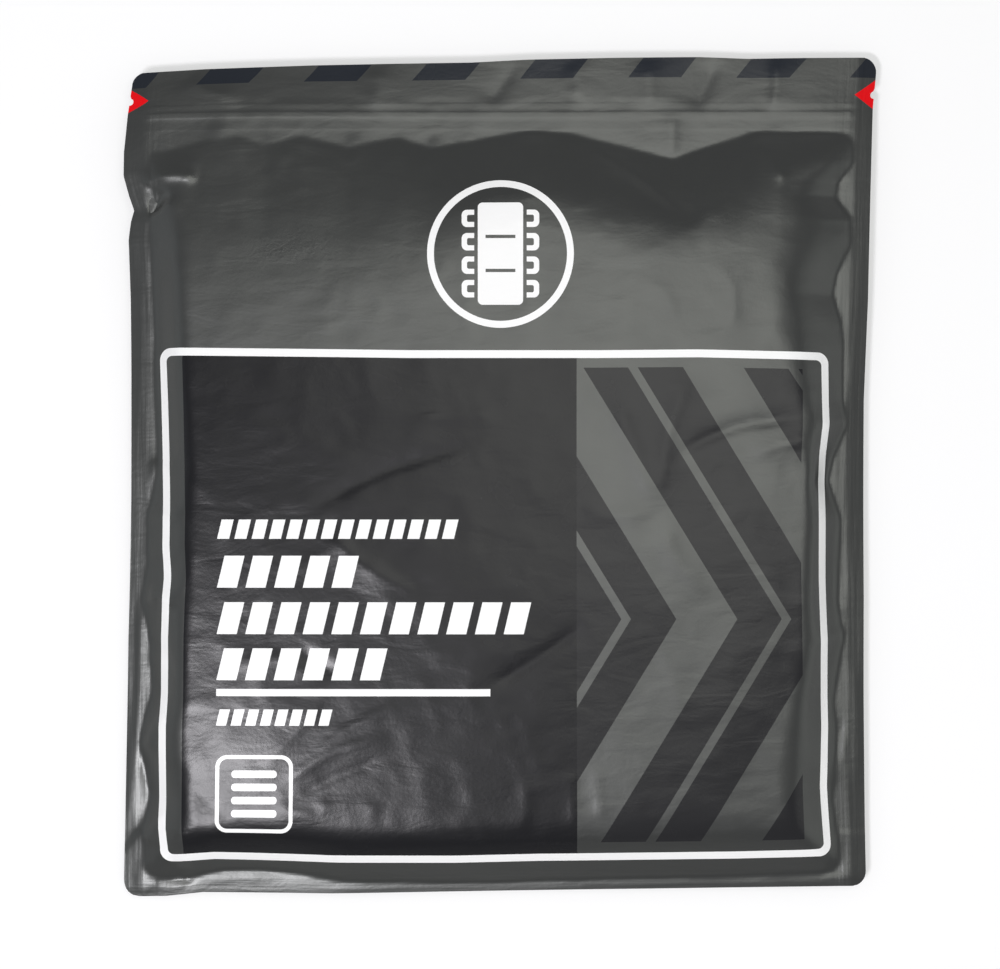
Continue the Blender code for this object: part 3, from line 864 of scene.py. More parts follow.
class FlatPrint:
    """Draws printed shapes on a sheet, each as a mask from the sheet's flat places.

    All sizes are in millimetres on the flat sheet.
    """

    def __init__(self, tree: NodeTree) -> None:
        """Read the flat places in the material's node tree."""
        self.tree = tree
        flat = add_node(tree, "UVMap", uv_map="flat")
        self.place = add_node(tree, "VectorMath", {0: flat, "Scale": 1.0 / MM}, operation="SCALE")
        self.across, self.along = add_node(tree, "SeparateXYZ", [self.place]).outputs[:2]

    def box(
        self, left: float, right: float, low: float, high: float, radius: float = 0.01
    ) -> Node:
        """Mask of an upright rectangle with rounded corners."""
        tree = self.tree
        middle = ((left + right) / 2, (low + high) / 2, 0.0)
        core = ((right - left) / 2 - radius, (high - low) / 2 - radius, 1.0)
        offset = add_node(tree, "VectorMath", [self.place, middle], operation="SUBTRACT")
        one_side = add_node(tree, "VectorMath", [offset], operation="ABSOLUTE")
        past = add_node(tree, "VectorMath", [one_side, core], operation="SUBTRACT")
        outside = add_node(tree, "VectorMath", [past, (0, 0, 0)], operation="MAXIMUM")
        reach = add_node(tree, "VectorMath", [outside], operation="LENGTH").outputs["Value"]
        return add_node(tree, "Math", [reach, radius], operation="LESS_THAN")

    def block(self, x: float, y: float, size: Triple) -> Node:
        """Mask of a rectangle round a point: its half width, half height and corner radius."""
        half_width, half_height, radius = size
        return self.box(x - half_width, x + half_width, y - half_height, y + half_height, radius)

    def disc(self, middle: Pair, radius: float) -> Node:
        """Mask of a round spot."""
        tree = self.tree
        offset = add_node(tree, "VectorMath", [self.place, (*middle, 0.0)], operation="SUBTRACT")
        reach = add_node(tree, "VectorMath", [offset], operation="LENGTH").outputs["Value"]
        return add_node(tree, "Math", [reach, radius], operation="LESS_THAN")

    def repeated(self, value: Node, first: float, pitch: float, share: float) -> Node:
        """Mask of what lies in the first share of each pitch of a value."""
        offset = add_node(self.tree, "Math", [value, first], operation="SUBTRACT")
        turns = add_node(self.tree, "Math", [offset, pitch], operation="DIVIDE")
        rest = add_node(self.tree, "Math", [turns], operation="FRACT")
        return add_node(self.tree, "Math", [rest, share], operation="LESS_THAN")

    def slanted(self, first: float, pitch: float, share: float, slant: float, low: float) -> Node:
        """Mask of endless slanted bars.

        Args:
            first: where a bar's left edge crosses the line at low.
            pitch: distance from one bar to the next.
            share: part of the pitch that a bar fills.
            slant: shift to the right for each millimetre up.
            low: height of the line that first and pitch are measured on.

        Returns:
            The node that gives the mask.
        """
        up = add_node(self.tree, "Math", [self.along, low], operation="SUBTRACT")
        value = add_node(self.tree, "Math", [up, -slant, self.across], operation="MULTIPLY_ADD")
        return self.repeated(value, first, pitch, share)

    def chevrons(
        self, tip: float, middle: float, pitch: float, share: float, slope: float
    ) -> Node:
        """Mask of endless chevrons that point right, nested one behind the other.

        Args:
            tip: where the left edge of one chevron crosses its middle line.
            middle: height of the middle line.
            pitch: distance from one chevron to the next.
            share: part of the pitch that a chevron fills.
            slope: shift to the left for each millimetre away from the middle line.

        Returns:
            The node that gives the mask.
        """
        offset = add_node(self.tree, "Math", [self.along, middle], operation="SUBTRACT")
        away = add_node(self.tree, "Math", [offset], operation="ABSOLUTE")
        value = add_node(self.tree, "Math", [away, slope, self.across], operation="MULTIPLY_ADD")
        return self.repeated(value, tip, pitch, share)

    def either(self, *masks: Node) -> Node:
        """Join masks."""
        total = masks[0]
        for mask in masks[1:]:
            total = add_node(self.tree, "Math", [total, mask], operation="MAXIMUM")
        return total

    def both(self, first: Node, second: Node) -> Node:
        """Keep what lies in both masks."""
        return add_node(self.tree, "Math", [first, second], operation="MULTIPLY")

    def without(self, mask: Node, cut: Node) -> Node:
        """Keep what lies in a mask and not in the cut."""
        return self.both(mask, add_node(self.tree, "Math", [1.0, cut], operation="SUBTRACT"))

    def ink(self, ground: object, mask: Node, colour: str) -> NodeSocket:
        """Print one colour over the ground where the mask is 1."""
        inputs = {0: mask, 6: ground, 7: linear(colour)}
        return add_node(self.tree, "Mix", inputs, data_type="RGBA").outputs[2]


@dataclass(frozen=True)
class PrintLayout:
    """Where the pouch's print lies on the flat film, in millimetres.

    The frame, panel, artwork and band are (left, right, low, high). The emblem's shapes are
    (half width, half height, corner radius), a dash row is (count, height, dash height) and
    the rule is (right end, height).
    """

    frame_outer: Quad = (-113.8, 111.6, -128.7, 41.4)
    frame_inner: Quad = (-111.2, 109.0, -126.1, 38.8)
    outer_radius: float = 4.0
    inner_radius: float = 2.0
    panel: Quad = (-105.6, 26.6, -127.2, 39.6)
    artwork: Quad = (26.6, 102.5, -122.2, 35.6)
    chevron_middle: float = -47.8
    chevron_pitch: float = 54.0
    chevron_share: float = 0.62
    chevron_slope: float = 0.62
    slit_offset: float = 15.0
    slit_share: float = 0.06
    stripe_band: Quad = (-130.0, 130.0, 132.7, 145.0)
    stripe_first: float = -137.6
    stripe_pitch: float = 36.3
    stripe_share: float = 0.49
    stripe_slant: float = 0.83
    marker_reach: float = 6.6
    marker_slope: float = 1.4
    ring_middle: Pair = (1.0, 73.4)
    ring_radius: float = 24.6
    ring_width: float = 2.3
    emblem_sheet: Triple = (7.6, 17.0, 1.6)
    emblem_gap: Triple = (8.8, 18.0, 2.2)
    emblem_loop: Triple = (13.0, 2.9, 1.8)
    emblem_hole: Triple = (11.2, 1.2, 0.6)
    loop_first: float = -11.7
    loop_pitch: float = 7.8
    loop_rows: int = 4
    fold_reach: float = 5.0
    fold_width: float = 1.1
    fold_lines: Pair = (-6.2, 5.1)
    text_left: float = -94.4
    dash_rows: tuple[tuple[int, float, float], ...] = (
        (14, -18.0, 6.4), (5, -32.1, 10.6), (11, -47.5, 10.6), (6, -62.8, 10.6), (8, -80.5, 5.4),
    )
    dash_pitch: float = 0.91
    dash_share: float = 0.7
    dash_slant: float = 0.24
    rule: Pair = (-2.4, -72.2)
    rule_half_width: float = 1.2
    icon_low: float = -119.0
    icon_size: float = 26.0
    icon_line: float = 1.3
    icon_inner_radius: float = 2.8
    icon_bars: int = 4
    bar_inset: float = 5.4
    bar_first: float = 5.2
    bar_pitch: float = 4.4
    bar_width: float = 2.5
    bar_radius: float = 1.1


@dataclass(frozen=True)
class LaminateFinish:
    """Matt laminated pouch film: printed on the back of a matt outer ply, then laminated.

    The matt ply over the ink gives every colour the same satin sheen, so folds show as soft
    lights and the dark print as a darker ground under the same lights. Each relief is its
    (strength, depth in millimetres), and each seal the two places between which its fine lines
    start to show, in millimetres.
    """

    ground: str = "#4e4f4e"
    panel: str = "#151518"
    artwork: str = "#222224"
    hazard: str = "#20242b"
    white: str = "#f8f8f7"
    marker: str = "#e3000d"
    ground_metal: float = 0.8
    roughness: float = 0.3
    ink_roughness: float = 0.225
    rubbing: float = 0.08
    ior: float = 1.32
    peel_relief: Pair = (0.22, 0.1)
    slack_relief: Pair = (0.25, 0.6)
    seal_relief: Pair = (0.35, 0.35)
    crinkle_relief: Pair = (0.25, 0.7)
    side_seal: Pair = (110.0, 116.0)
    low_seal: Pair = (-128.7, -134.0)
    layout: PrintLayout = field(default_factory=PrintLayout)

    def hazard_bars(self, flat: FlatPrint) -> Node:
        """Slanted dark bars along the header."""
        layout = self.layout
        bars = flat.slanted(
            layout.stripe_first, layout.stripe_pitch, layout.stripe_share,
            layout.stripe_slant, layout.stripe_band[2],
        )
        return flat.both(bars, flat.box(*layout.stripe_band))

    def tear_markers(self, flat: FlatPrint, pouch: Pouch) -> Node:
        """A red triangle at each tear notch."""
        tree, layout = flat.tree, self.layout
        offset = add_node(tree, "Math", [flat.along, pouch.tear / MM], operation="SUBTRACT")
        away = add_node(tree, "Math", [offset], operation="ABSOLUTE")
        out = add_node(tree, "Math", [flat.across], operation="ABSOLUTE")
        line = add_node(tree, "Math", [away, -layout.marker_slope, out], operation="MULTIPLY_ADD")
        edge = pouch.half_width / MM - layout.marker_reach
        return add_node(tree, "Math", [line, edge], operation="GREATER_THAN")

    def white_shapes(self, flat: FlatPrint) -> Node:
        """Frame, ring with its pictogram, dashes and rule."""
        layout = self.layout
        outer = flat.box(*layout.frame_outer, radius=layout.outer_radius)
        inner = flat.box(*layout.frame_inner, radius=layout.inner_radius)
        shapes = [flat.without(outer, inner), self.emblem(flat), self.folded_icon(flat)]
        for count, middle, height in layout.dash_rows:
            pitch = layout.dash_pitch * height
            low, left = middle - height / 2, layout.text_left
            row = flat.box(left, left + count * pitch, low, low + height)
            bars = flat.slanted(left, pitch, layout.dash_share, layout.dash_slant, low)
            shapes.append(flat.both(row, bars))
        right, middle = layout.rule
        half = layout.rule_half_width
        shapes.append(flat.box(layout.text_left, right, middle - half, middle + half))
        return flat.either(*shapes)

    def emblem(self, flat: FlatPrint) -> Node:
        """A ring round a plain picture of a sheet with loops on each long side."""
        layout = self.layout
        x, y = layout.ring_middle
        ring = flat.without(
            flat.disc((x, y), layout.ring_radius),
            flat.disc((x, y), layout.ring_radius - layout.ring_width),
        )
        reach = layout.fold_reach
        folds = [
            flat.box(x - reach, x + reach, y + at, y + at + layout.fold_width)
            for at in layout.fold_lines
        ]
        loops = []
        for row in range(layout.loop_rows):
            middle = y + layout.loop_first + layout.loop_pitch * row
            hole = flat.block(x, middle, layout.emblem_hole)
            loops.append(flat.without(flat.block(x, middle, layout.emblem_loop), hole))
        gap = flat.block(x, y, layout.emblem_gap)
        sheet = flat.without(flat.block(x, y, layout.emblem_sheet), flat.either(*folds))
        return flat.either(ring, sheet, flat.without(flat.either(*loops), gap))

    def folded_icon(self, flat: FlatPrint) -> Node:
        """A small plain picture of a folded stack: bars in a square outline."""
        layout = self.layout
        left, low, line = layout.text_left, layout.icon_low, layout.icon_line
        right, high = left + layout.icon_size, low + layout.icon_size
        outer = flat.box(left, right, low, high, layout.outer_radius)
        edges = (left + line, right - line, low + line, high - line)
        inner = flat.box(*edges, layout.icon_inner_radius)
        shapes = [flat.without(outer, inner)]
        for row in range(layout.icon_bars):
            base = low + layout.bar_first + layout.bar_pitch * row
            ends = (left + layout.bar_inset, right - layout.bar_inset)
            shapes.append(flat.box(*ends, base, base + layout.bar_width, layout.bar_radius))
        return flat.either(*shapes)

    def colours(self, flat: FlatPrint, pouch: Pouch) -> tuple[NodeSocket, Node]:
        """Print every colour over the ground, the white last.

        Args:
            flat: draws the shapes.
            pouch: sizes that the tear markers are placed by.

        Returns:
            The colour, and the mask of all ink.
        """
        layout = self.layout
        inside = flat.box(*layout.frame_inner, radius=layout.inner_radius)
        middle, pitch, slope = layout.chevron_middle, layout.chevron_pitch, layout.chevron_slope
        tip = layout.artwork[0]
        arrows = flat.chevrons(tip, middle, pitch, layout.chevron_share, slope)
        slit = flat.chevrons(tip + layout.slit_offset, middle, pitch, layout.slit_share, slope)
        artwork = flat.both(flat.without(arrows, slit), flat.box(*layout.artwork))
        layers = (
            (flat.both(flat.box(*layout.panel), inside), self.panel),
            (flat.both(artwork, inside), self.artwork),
            (self.hazard_bars(flat), self.hazard),
            (self.tear_markers(flat, pouch), self.marker),
            (self.white_shapes(flat), self.white),
        )
        colour = linear(self.ground)
        for mask, ink in layers:
            colour = flat.ink(colour, mask, ink)
        return colour, flat.either(*[mask for mask, _ in layers])

    def seal_lines(self, flat: FlatPrint) -> Node:
        """Fine lines that the seals draw along their length, about 2 mm apart."""
        tree = flat.tree
        out = add_node(tree, "Math", [flat.across], operation="ABSOLUTE")
        seals = (
            (out, self.side_seal, (1.0, 0.05, 1.0)), (flat.along, self.low_seal, (0.04, 1.0, 1.0)),
        )
        lines = 0.0
        for place, (start, end), scale in seals:
            seal = add_node(tree, "MapRange", {"Value": place, "From Min": start, "From Max": end})
            drawn = add_node(tree, "Mapping", {"Vector": flat.place, "Scale": scale})
            line = add_node(tree, "TexNoise", {"Vector": drawn, "Scale": 0.5, "Detail": 2.0})
            lines = add_node(tree, "Math", [line, seal, lines], operation="MULTIPLY_ADD")
        return lines

    def relief(self, flat: FlatPrint) -> Node:
        """Fine relief of the film, from its laminate, its slack, its seals and its bends."""
        tree = flat.tree
        # Orange peel of the laminate, 1.2 mm across
        peel = add_node(tree, "TexNoise", {"Vector": flat.place, "Scale": 0.8, "Detail": 2.0})
        # Slack of the film from packing: slanting waves some 8 mm wide
        turned = add_node(tree, "Mapping", {
            "Vector": flat.place, "Rotation": (0.0, 0.0, -0.6), "Scale": (0.35, 1.0, 1.0),
        })
        slack = add_node(tree, "TexNoise", {
            "Vector": turned, "Scale": 0.13, "Detail": 3.0, "Distortion": 0.6,
        })
        # Fine crinkles, 2 to 4 mm across, where the film bends over the filling's edge
        bends = add_node(tree, "Attribute", attribute_name="crinkle").outputs["Fac"]
        grain = add_node(tree, "TexNoise", {
            "Vector": flat.place, "Scale": 0.3, "Detail": 3.0, "Roughness": 0.6,
            "Distortion": 1.2,
        })
        crinkles = add_node(tree, "Math", [grain, bends], operation="MULTIPLY")
        reliefs = (
            (peel, self.peel_relief), (slack, self.slack_relief),
            (self.seal_lines(flat), self.seal_relief), (crinkles, self.crinkle_relief),
        )
        below = {}
        for height, (strength, depth) in reliefs:
            bump = add_node(tree, "Bump", {
                "Height": height, "Strength": strength, "Distance": depth * MM, **below,
            })
            below = {"Normal": bump}
        return bump

    def material(self, name: str, pouch: Pouch, printed: bool) -> Material:
        """Build the film's material.

        Args:
            name: name of the material.
            pouch: sizes that the tear markers are placed by.
            printed: whether the print is on this film.

        Returns:
            The material.
        """
        material, tree = new_material(name)
        flat = FlatPrint(tree)
        colour, metal, least_rough = linear(self.ground), self.ground_metal, self.roughness
        if printed:
            colour, ink = self.colours(flat, pouch)
            metal = add_node(tree, "MapRange", {"Value": ink, "To Min": metal, "To Max": 0.0})
            least_rough = add_node(tree, "MapRange", {
                "Value": ink, "To Min": self.roughness, "To Max": self.ink_roughness,
            })
        # Rubbing evens the matt ply out here and there, in patches some centimetres wide
        rub = add_node(tree, "TexNoise", {"Vector": flat.place, "Scale": 0.06, "Detail": 3.0})
        rough = add_node(tree, "Math", [rub, self.rubbing, least_rough], operation="MULTIPLY_ADD")
        shader = add_node(tree, "BsdfPrincipled", {
            "IOR": self.ior, "Base Color": colour, "Metallic": metal, "Roughness": rough,
            "Normal": self.relief(flat),
        })
        add_node(tree, "OutputMaterial", {"Surface": shader})
        return material


@dataclass(frozen=True)
class PlainFinish:
    """An even extruded or cast plastic: its tiny flow marks only break up the shine."""

    name: str
    colour: str
    roughness: float = 0.35
    mark_size: float = 2.0 * MM
    mark_strength: float = 0.15
    mark_depth: float = 0.05 * MM
    ior: float = 1.5

    def material(self) -> Material:
        """Build the material."""
        material, tree = new_material(self.name)
        place = add_node(tree, "TexCoord").outputs["Object"]
        flow = add_node(tree, "TexNoise", {
            "Vector": place, "Scale": 1.0 / self.mark_size, "Detail": 2.0,
        })
        bump = add_node(tree, "Bump", {
            "Height": flow, "Strength": self.mark_strength, "Distance": self.mark_depth,
        })
        shader = add_node(tree, "BsdfPrincipled", {
            "Base Color": linear(self.colour), "Roughness": self.roughness, "IOR": self.ior,
            "Normal": bump,
        })
        add_node(tree, "OutputMaterial", {"Surface": shader})
        return material


@dataclass(frozen=True)
class WovenFinish:
    """Woven synthetic cloth or webbing, drawn thread by thread from its flat places.

    The threads are drawn coarser than real ones, at thread_spacing, so that they show. The colour
    is painted darker where the threads dip between crossings: painted shade in the hollows of the
    weave.
    """

    name: str
    colour: str
    # Painted shade: the darker colour that the hollows of the weave are drawn in
    painted_hollow_shade: str
    thread_spacing: float
    roughness: float = 0.6
    thread_strength: float = 0.5
    thread_depth: float = 0.1 * MM
    sheen: float = 0.15

    def material(self) -> Material:
        """Build the material."""
        material, tree = new_material(self.name)
        flat = FlatPrint(tree)
        turns = pi * MM / self.thread_spacing
        waves = []
        for place in (flat.across, flat.along):
            angle = add_node(tree, "Math", [place, turns], operation="MULTIPLY")
            waves.append(add_node(tree, "Math", [angle], operation="SINE"))
        crossing = add_node(tree, "Math", waves, operation="MULTIPLY")
        over = add_node(tree, "Math", [crossing, 0.5, 0.5], operation="MULTIPLY_ADD")
        # Painted shade: the colour darkens where the threads dip, following the same height as the
        # bump
        colour = flat.ink(linear(self.painted_hollow_shade), over, self.colour)
        bump = add_node(tree, "Bump", {
            "Height": over, "Strength": self.thread_strength, "Distance": self.thread_depth,
        })
        shader = add_node(tree, "BsdfPrincipled", {
            "Base Color": colour, "Roughness": self.roughness, "Normal": bump,
            "Sheen Weight": self.sheen,
        })
        add_node(tree, "OutputMaterial", {"Surface": shader})
        return material


@dataclass
class FilmGrid:
    """Lines of the films' grids, closer where the films fold or are pressed."""

    form: FilmForm
    flank: float = 92 * MM
    low_end: float = -104 * MM
    high_end: float = 80 * MM
    fine: float = 1.0 * MM
    coarse: float = 1.45 * MM
    press: float = 0.3 * MM
    corner_steps: int = 8
    notch_steps: int = 5

    def columns(self) -> ndarray:
        """Lines across the pouch."""
        side = spaced(self.flank, self.form.pouch.half_width, self.fine)
        return merged(-side, spaced(-self.flank, self.flank, self.coarse), side)

    def corner_rows(self) -> ndarray:
        """Lines that follow a rounded corner, as heights above its lower end."""
        turns = np.linspace(0.0, pi / 2, self.corner_steps + 1)
        return self.form.pouch.corner * np.sin(turns)

    def notch_turns(self) -> ndarray:
        """Turns that the lines by a tear notch lie at."""
        return np.linspace(0.0, pi / 2, self.notch_steps + 1)

    def body_rows(self) -> ndarray:
        """Lines along the pouch from its bottom edge to the tear line."""
        form, pouch = self.form, self.form.pouch
        corner = pouch.bottom + pouch.corner - self.corner_rows()
        notch = pouch.tear - pouch.notch * np.cos(self.notch_turns())
        zip_lines = (
            pouch.zip_lower, pouch.zip_upper,
            form.track - form.track_half_width, form.track + form.track_half_width,
        )
        steps = [line + step for line in zip_lines for step in (-self.press, 0.0, self.press)]
        low = spaced(pouch.bottom + pouch.corner, self.low_end, self.fine)
        high = spaced(self.high_end, pouch.tear - pouch.notch, self.fine)
        middle = spaced(self.low_end, self.high_end, self.coarse)
        return merged(corner, notch, steps, low, middle, high, [pouch.tear])

    def header_rows(self) -> ndarray:
        """Lines along the header from the tear line to the top edge."""
        pouch = self.form.pouch
        notch = pouch.tear + pouch.notch * np.sin(self.notch_turns())
        corner = pouch.top - pouch.corner + self.corner_rows()
        middle = spaced(pouch.tear + pouch.notch, pouch.top - pouch.corner, self.fine)
        return merged(notch, middle, corner)


@dataclass(frozen=True)
class MouthBend:
    """How far each point of the front film goes with the mouth when the zip is opened."""

    pouch: Pouch
    before_hinge: float = 5 * MM
    after_hinge: float = 16 * MM

    def share(self, places: ndarray) -> ndarray:
        """Share of the mouth's turn: full in the middle of its edge, none at the side seals."""
        out = places[:, 0] / (self.pouch.seal * self.pouch.waist(places[:, 1]))
        along = places[:, 1] - self.pouch.hinge + self.before_hinge
        reach = self.before_hinge + self.after_hinge
        return np.clip(1.0 - out * out, 0.0, 1.0) * ease(along / reach)

    def join(self, piece: Object) -> None:
        """Bake a finished piece's transform and work out how far each of its points goes with the
        mouth.
        """
        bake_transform(piece)
        places = np.empty(len(piece.data.vertices) * 3)
        piece.data.vertices.foreach_get("co", places)
        share = self.share(places.reshape(-1, 3)).astype(np.float32)


@dataclass
class PouchFilms:
    """Front and back film and the tear-off header: one printed and one plain laminate."""

    form: FilmForm
    finish: LaminateFinish = field(default_factory=LaminateFinish)
    printed: Material = field(init=False)
    plain: Material = field(init=False)

    def build(self) -> list[Object]:
        """Build the films and join the back film and the header films to their bodies."""
        pouch = self.form.pouch
        self.printed = self.finish.material("printed_matt_laminate", pouch, printed=True)
        self.plain = self.finish.material("plain_matt_laminate", pouch, printed=False)
        grid = FilmGrid(self.form)
        front = self.film("front_film", grid.body_rows(), front=True)
        MouthBend(pouch).join(front)
        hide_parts("front_panel", "front_lip")
        back = self.film("back_film", grid.body_rows(), front=False)
        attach(back, Body.POUCH.value)
        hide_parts("back_panel")
        pieces = [front, back]
        for node, is_front in (("tear_strip_front", True), ("tear_strip_back", False)):
            strip = self.film(node.replace("tear_strip", "header"), grid.header_rows(), is_front)
            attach(strip, Body.HEADER.value)
            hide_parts(node)
            pieces.append(strip)
        return pieces

    def film(self, name: str, rows: ndarray, front: bool) -> Object:
        """Make one film.

        Args:
            name: name of the piece.
            rows: lines of its grid along the pouch.
            front: whether it is of the front film, which is printed.

        Returns:
            The finished piece.
        """
        place = self.form.front if front else self.form.back
        crinkle = self.form.crinkle if front else None
        columns = FilmGrid(self.form).columns()
        mesh = grid_mesh(name, columns, rows, place, self.form.pouch, crinkle)
        outer = self.printed if front else self.plain
        film = self.form.pouch.film
        return Sheet(name, mesh, film, outer, self.plain, faces_down=not front).build()


@dataclass
class BottomGusset:
    """Film folded in between the two panels along the bottom edge."""

    form: FilmForm
    material: Material
    fold_steps: int = 6
    follow: Pair = (0.1, 0.85)

    def build(self) -> Object:
        """Build the folded film and join it to the pouch."""
        pouch = self.form.pouch
        radius, run = self.fold()
        grid = FilmGrid(self.form)
        half_turn = np.linspace(run, run + pi * radius, self.fold_steps + 1)
        leg = merged(grid.corner_rows(), spaced(pouch.corner, run, grid.fine))
        rows = merged(leg, half_turn, 2 * run + pi * radius - leg)
        mesh = grid_mesh("bottom_gusset_film", grid.columns(), rows, self.place)
        gusset = Sheet(mesh.name, mesh, pouch.film, self.material, faces_down=True).build()
        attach(gusset, Body.POUCH.value)
        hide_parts("bottom_gusset")
        return gusset

    def fold(self) -> Pair:
        """Radius of the fold, and the length of each leg up to it."""
        pouch = self.form.pouch
        radius = self.form.layer() / 2
        return radius, pouch.gusset_apex - pouch.bottom - radius - pouch.film / 2

    def place(self, x: ndarray, distance: ndarray) -> ndarray:
        """Place of the film's middle at each flat place, its legs against the two panels."""
        pouch, form = self.form.pouch, self.form
        radius, run = self.fold()
        angle = np.clip((distance - run) / radius, 0.0, pi)
        past = np.maximum(distance - run - pi * radius, 0.0)
        y = pouch.bottom + np.minimum(distance, run) + radius * np.sin(angle) - past
        x = pouch.trimmed(x, y)
        across, along = form.plane(x, y)
        share = (y - pouch.bottom) / (pouch.gusset_apex - pouch.bottom)
        follow = fall(share, *self.follow)
        upper = form.front(x, y)[:, 2] - form.layer()
        lower = form.back(x, y)[:, 2] + form.layer()
        middle = pouch.rim + form.wave(x, y)
        target = np.where(angle > pi / 2, upper, lower)
        height = middle - radius * np.cos(angle)
        return np.stack([across, along, height + follow * (target - height)], axis=1)


@dataclass
class ZipClosure:
    """Press-to-close zip: a tongue on the front film that snaps in a groove on the back one.

    The sections are points of (place along from the track's middle, depth from the film that
    the strip is bonded to).
    """

    form: FilmForm
    material: Material
    flange: float = 0.12 * MM
    half_groove: float = 0.6 * MM
    wall: float = 0.2 * MM
    wall_height: float = 0.98 * MM
    hook: float = 0.2 * MM
    hook_reach: float = 0.26 * MM
    fit: float = 0.08 * MM
    ramp: float = 0.4 * MM
    step: float = 4.0 * MM

    def build(self) -> list[Object]:
        """Build both strips and join the groove strip to its body."""
        tongue = self.strip("zip_tongue", self.tongue_section(), front=True)
        MouthBend(self.form.pouch).join(tongue)
        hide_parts("zip_tongue_strip")
        groove = self.strip("zip_groove", self.groove_section(), front=False)
        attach(groove, Body.POUCH.value)
        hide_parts("zip_groove_strip")
        return [tongue, groove]

    def with_flange(self, track: list[Pair]) -> list[Pair]:
        """Put one half of a track's outline, and its mirror image, on a flange."""
        form = self.form
        upper = form.pouch.zip_upper - form.track
        lower = form.track - form.pouch.zip_lower
        bend = (form.track_half_width + self.ramp, form.track_half_width - self.ramp)
        points = [(upper, 0.0), (upper, self.flange)]
        points += [(at, self.flange) for at in bend] + track
        points += [(-at, depth) for at, depth in reversed(track)]
        points += [(-at, self.flange) for at in reversed(bend)]
        points += [(-lower, self.flange), (-lower, 0.0)]
        return points + [(-at, 0.0) for at in bend] + [(at, 0.0) for at in reversed(bend)]

    def groove_section(self) -> list[Pair]:
        """Outline of the strip with two hooked walls."""
        inner, crest = self.half_groove, self.flange + self.wall_height
        outer, tip = inner + self.wall, inner - self.hook_reach
        return self.with_flange([
            (outer, self.flange), (outer, crest - self.hook / 2), (outer - self.wall / 2, crest),
            (tip + self.hook_reach / 3, crest), (tip, crest - self.hook),
            (inner, crest - self.hook), (inner, self.flange),
        ])

    def tongue_section(self) -> list[Pair]:
        """Outline of the strip with an arrow-headed tongue."""
        stem = self.half_groove - self.hook_reach - self.fit
        head = self.half_groove - self.fit
        shoulder = self.flange + self.hook + 2 * self.fit
        nose = self.flange + self.wall_height - self.fit
        barb = shoulder + (nose - shoulder) / 3
        return self.with_flange([
            (stem, self.flange), (stem, shoulder), (head, shoulder), (head, barb), (stem, nose),
        ])

    def strip(self, name: str, section: list[Pair], front: bool) -> Object:
        """Extrude a section across the pouch and lay it along its film.

        Args:
            name: name of the piece.
            section: outline of the section.
            front: whether the strip is bonded to the front film.

        Returns:
            The finished piece.
        """
        form = self.form
        shape = bmesh.new()
        end = form.pouch.zip_end
        corners = [shape.verts.new((-end, at, depth)) for at, depth in section]
        face = shape.faces.new(corners)
        steps = ceil(2 * end / self.step)
        for _ in range(steps):
            grown = bmesh.ops.extrude_face_region(shape, geom=[face])["geom"]
            face = next(item for item in grown if isinstance(item, bmesh.types.BMFace))
            bmesh.ops.translate(shape, verts=face.verts, vec=(2 * end / steps, 0.0, 0.0))
        put_in_order(shape.verts, lambda vertex: tuple(vertex.co))
        put_in_order(shape.faces, lambda face: tuple(face.calc_center_median()))
        places = np.array([vertex.co for vertex in shape.verts])
        x, y = places[:, 0], form.track + places[:, 1]
        base = form.front(x, y) if front else form.back(x, y)
        toward = -1.0 if front else 1.0
        base[:, 2] += toward * (form.pouch.film / 2 + places[:, 2])
        for vertex, place in zip(shape.verts, base):
            vertex.co = place
        bmesh.ops.recalc_face_normals(shape, faces=shape.faces)
        mesh = bpy.data.meshes.new(name)
        shape.to_mesh(mesh)
        shape.free()
        mesh.materials.append(self.material)
        return add_object(name, mesh)


@dataclass(frozen=True)
class BackAndForth:
    """A strip that folds back and forth: level runs joined by half circles."""

    length: float
    folds: int
    radius: float

    @property
    def run(self) -> float:
        """Length of each level run."""
        return (self.length - self.folds * pi * self.radius) / (self.folds + 1)

    def follow(self, distance: ndarray) -> tuple[ndarray, ndarray, ndarray]:
        """Follow the strip.

        Args:
            distance: places on the flat strip.

        Returns:
            The place along the runs, the rise, and the turn, from 0 on a run that goes
            forwards to pi on one that comes back.
        """
        period = self.run + pi * self.radius
        fold = np.minimum((distance / period).astype(int), self.folds)
        rest = distance - fold * period
        angle = np.clip((rest - self.run) / self.radius, 0.0, pi)
        forward = fold % 2 == 0
        side = np.where(forward, 1.0, -1.0)
        start = np.where(forward, 0.0, self.run)
        along = start + side * (np.minimum(rest, self.run) + self.radius * np.sin(angle))
        rise = 2 * self.radius * fold + self.radius * (1.0 - np.cos(angle))
        return along, rise, np.where(forward, angle, pi - angle)

    def lines(self, run_steps: int, fold_steps: int) -> ndarray:
        """Return flat places for the lines of a grid, closer in the folds."""
        period = self.run + pi * self.radius
        groups = []
        for fold in range(self.folds + 1):
            start = fold * period
            groups.append(np.linspace(start, start + self.run, run_steps + 1))
            if fold < self.folds:
                turn_end = start + self.run + pi * self.radius
                groups.append(np.linspace(start + self.run, turn_end, fold_steps + 1)[1:-1])
        return np.concatenate(groups)


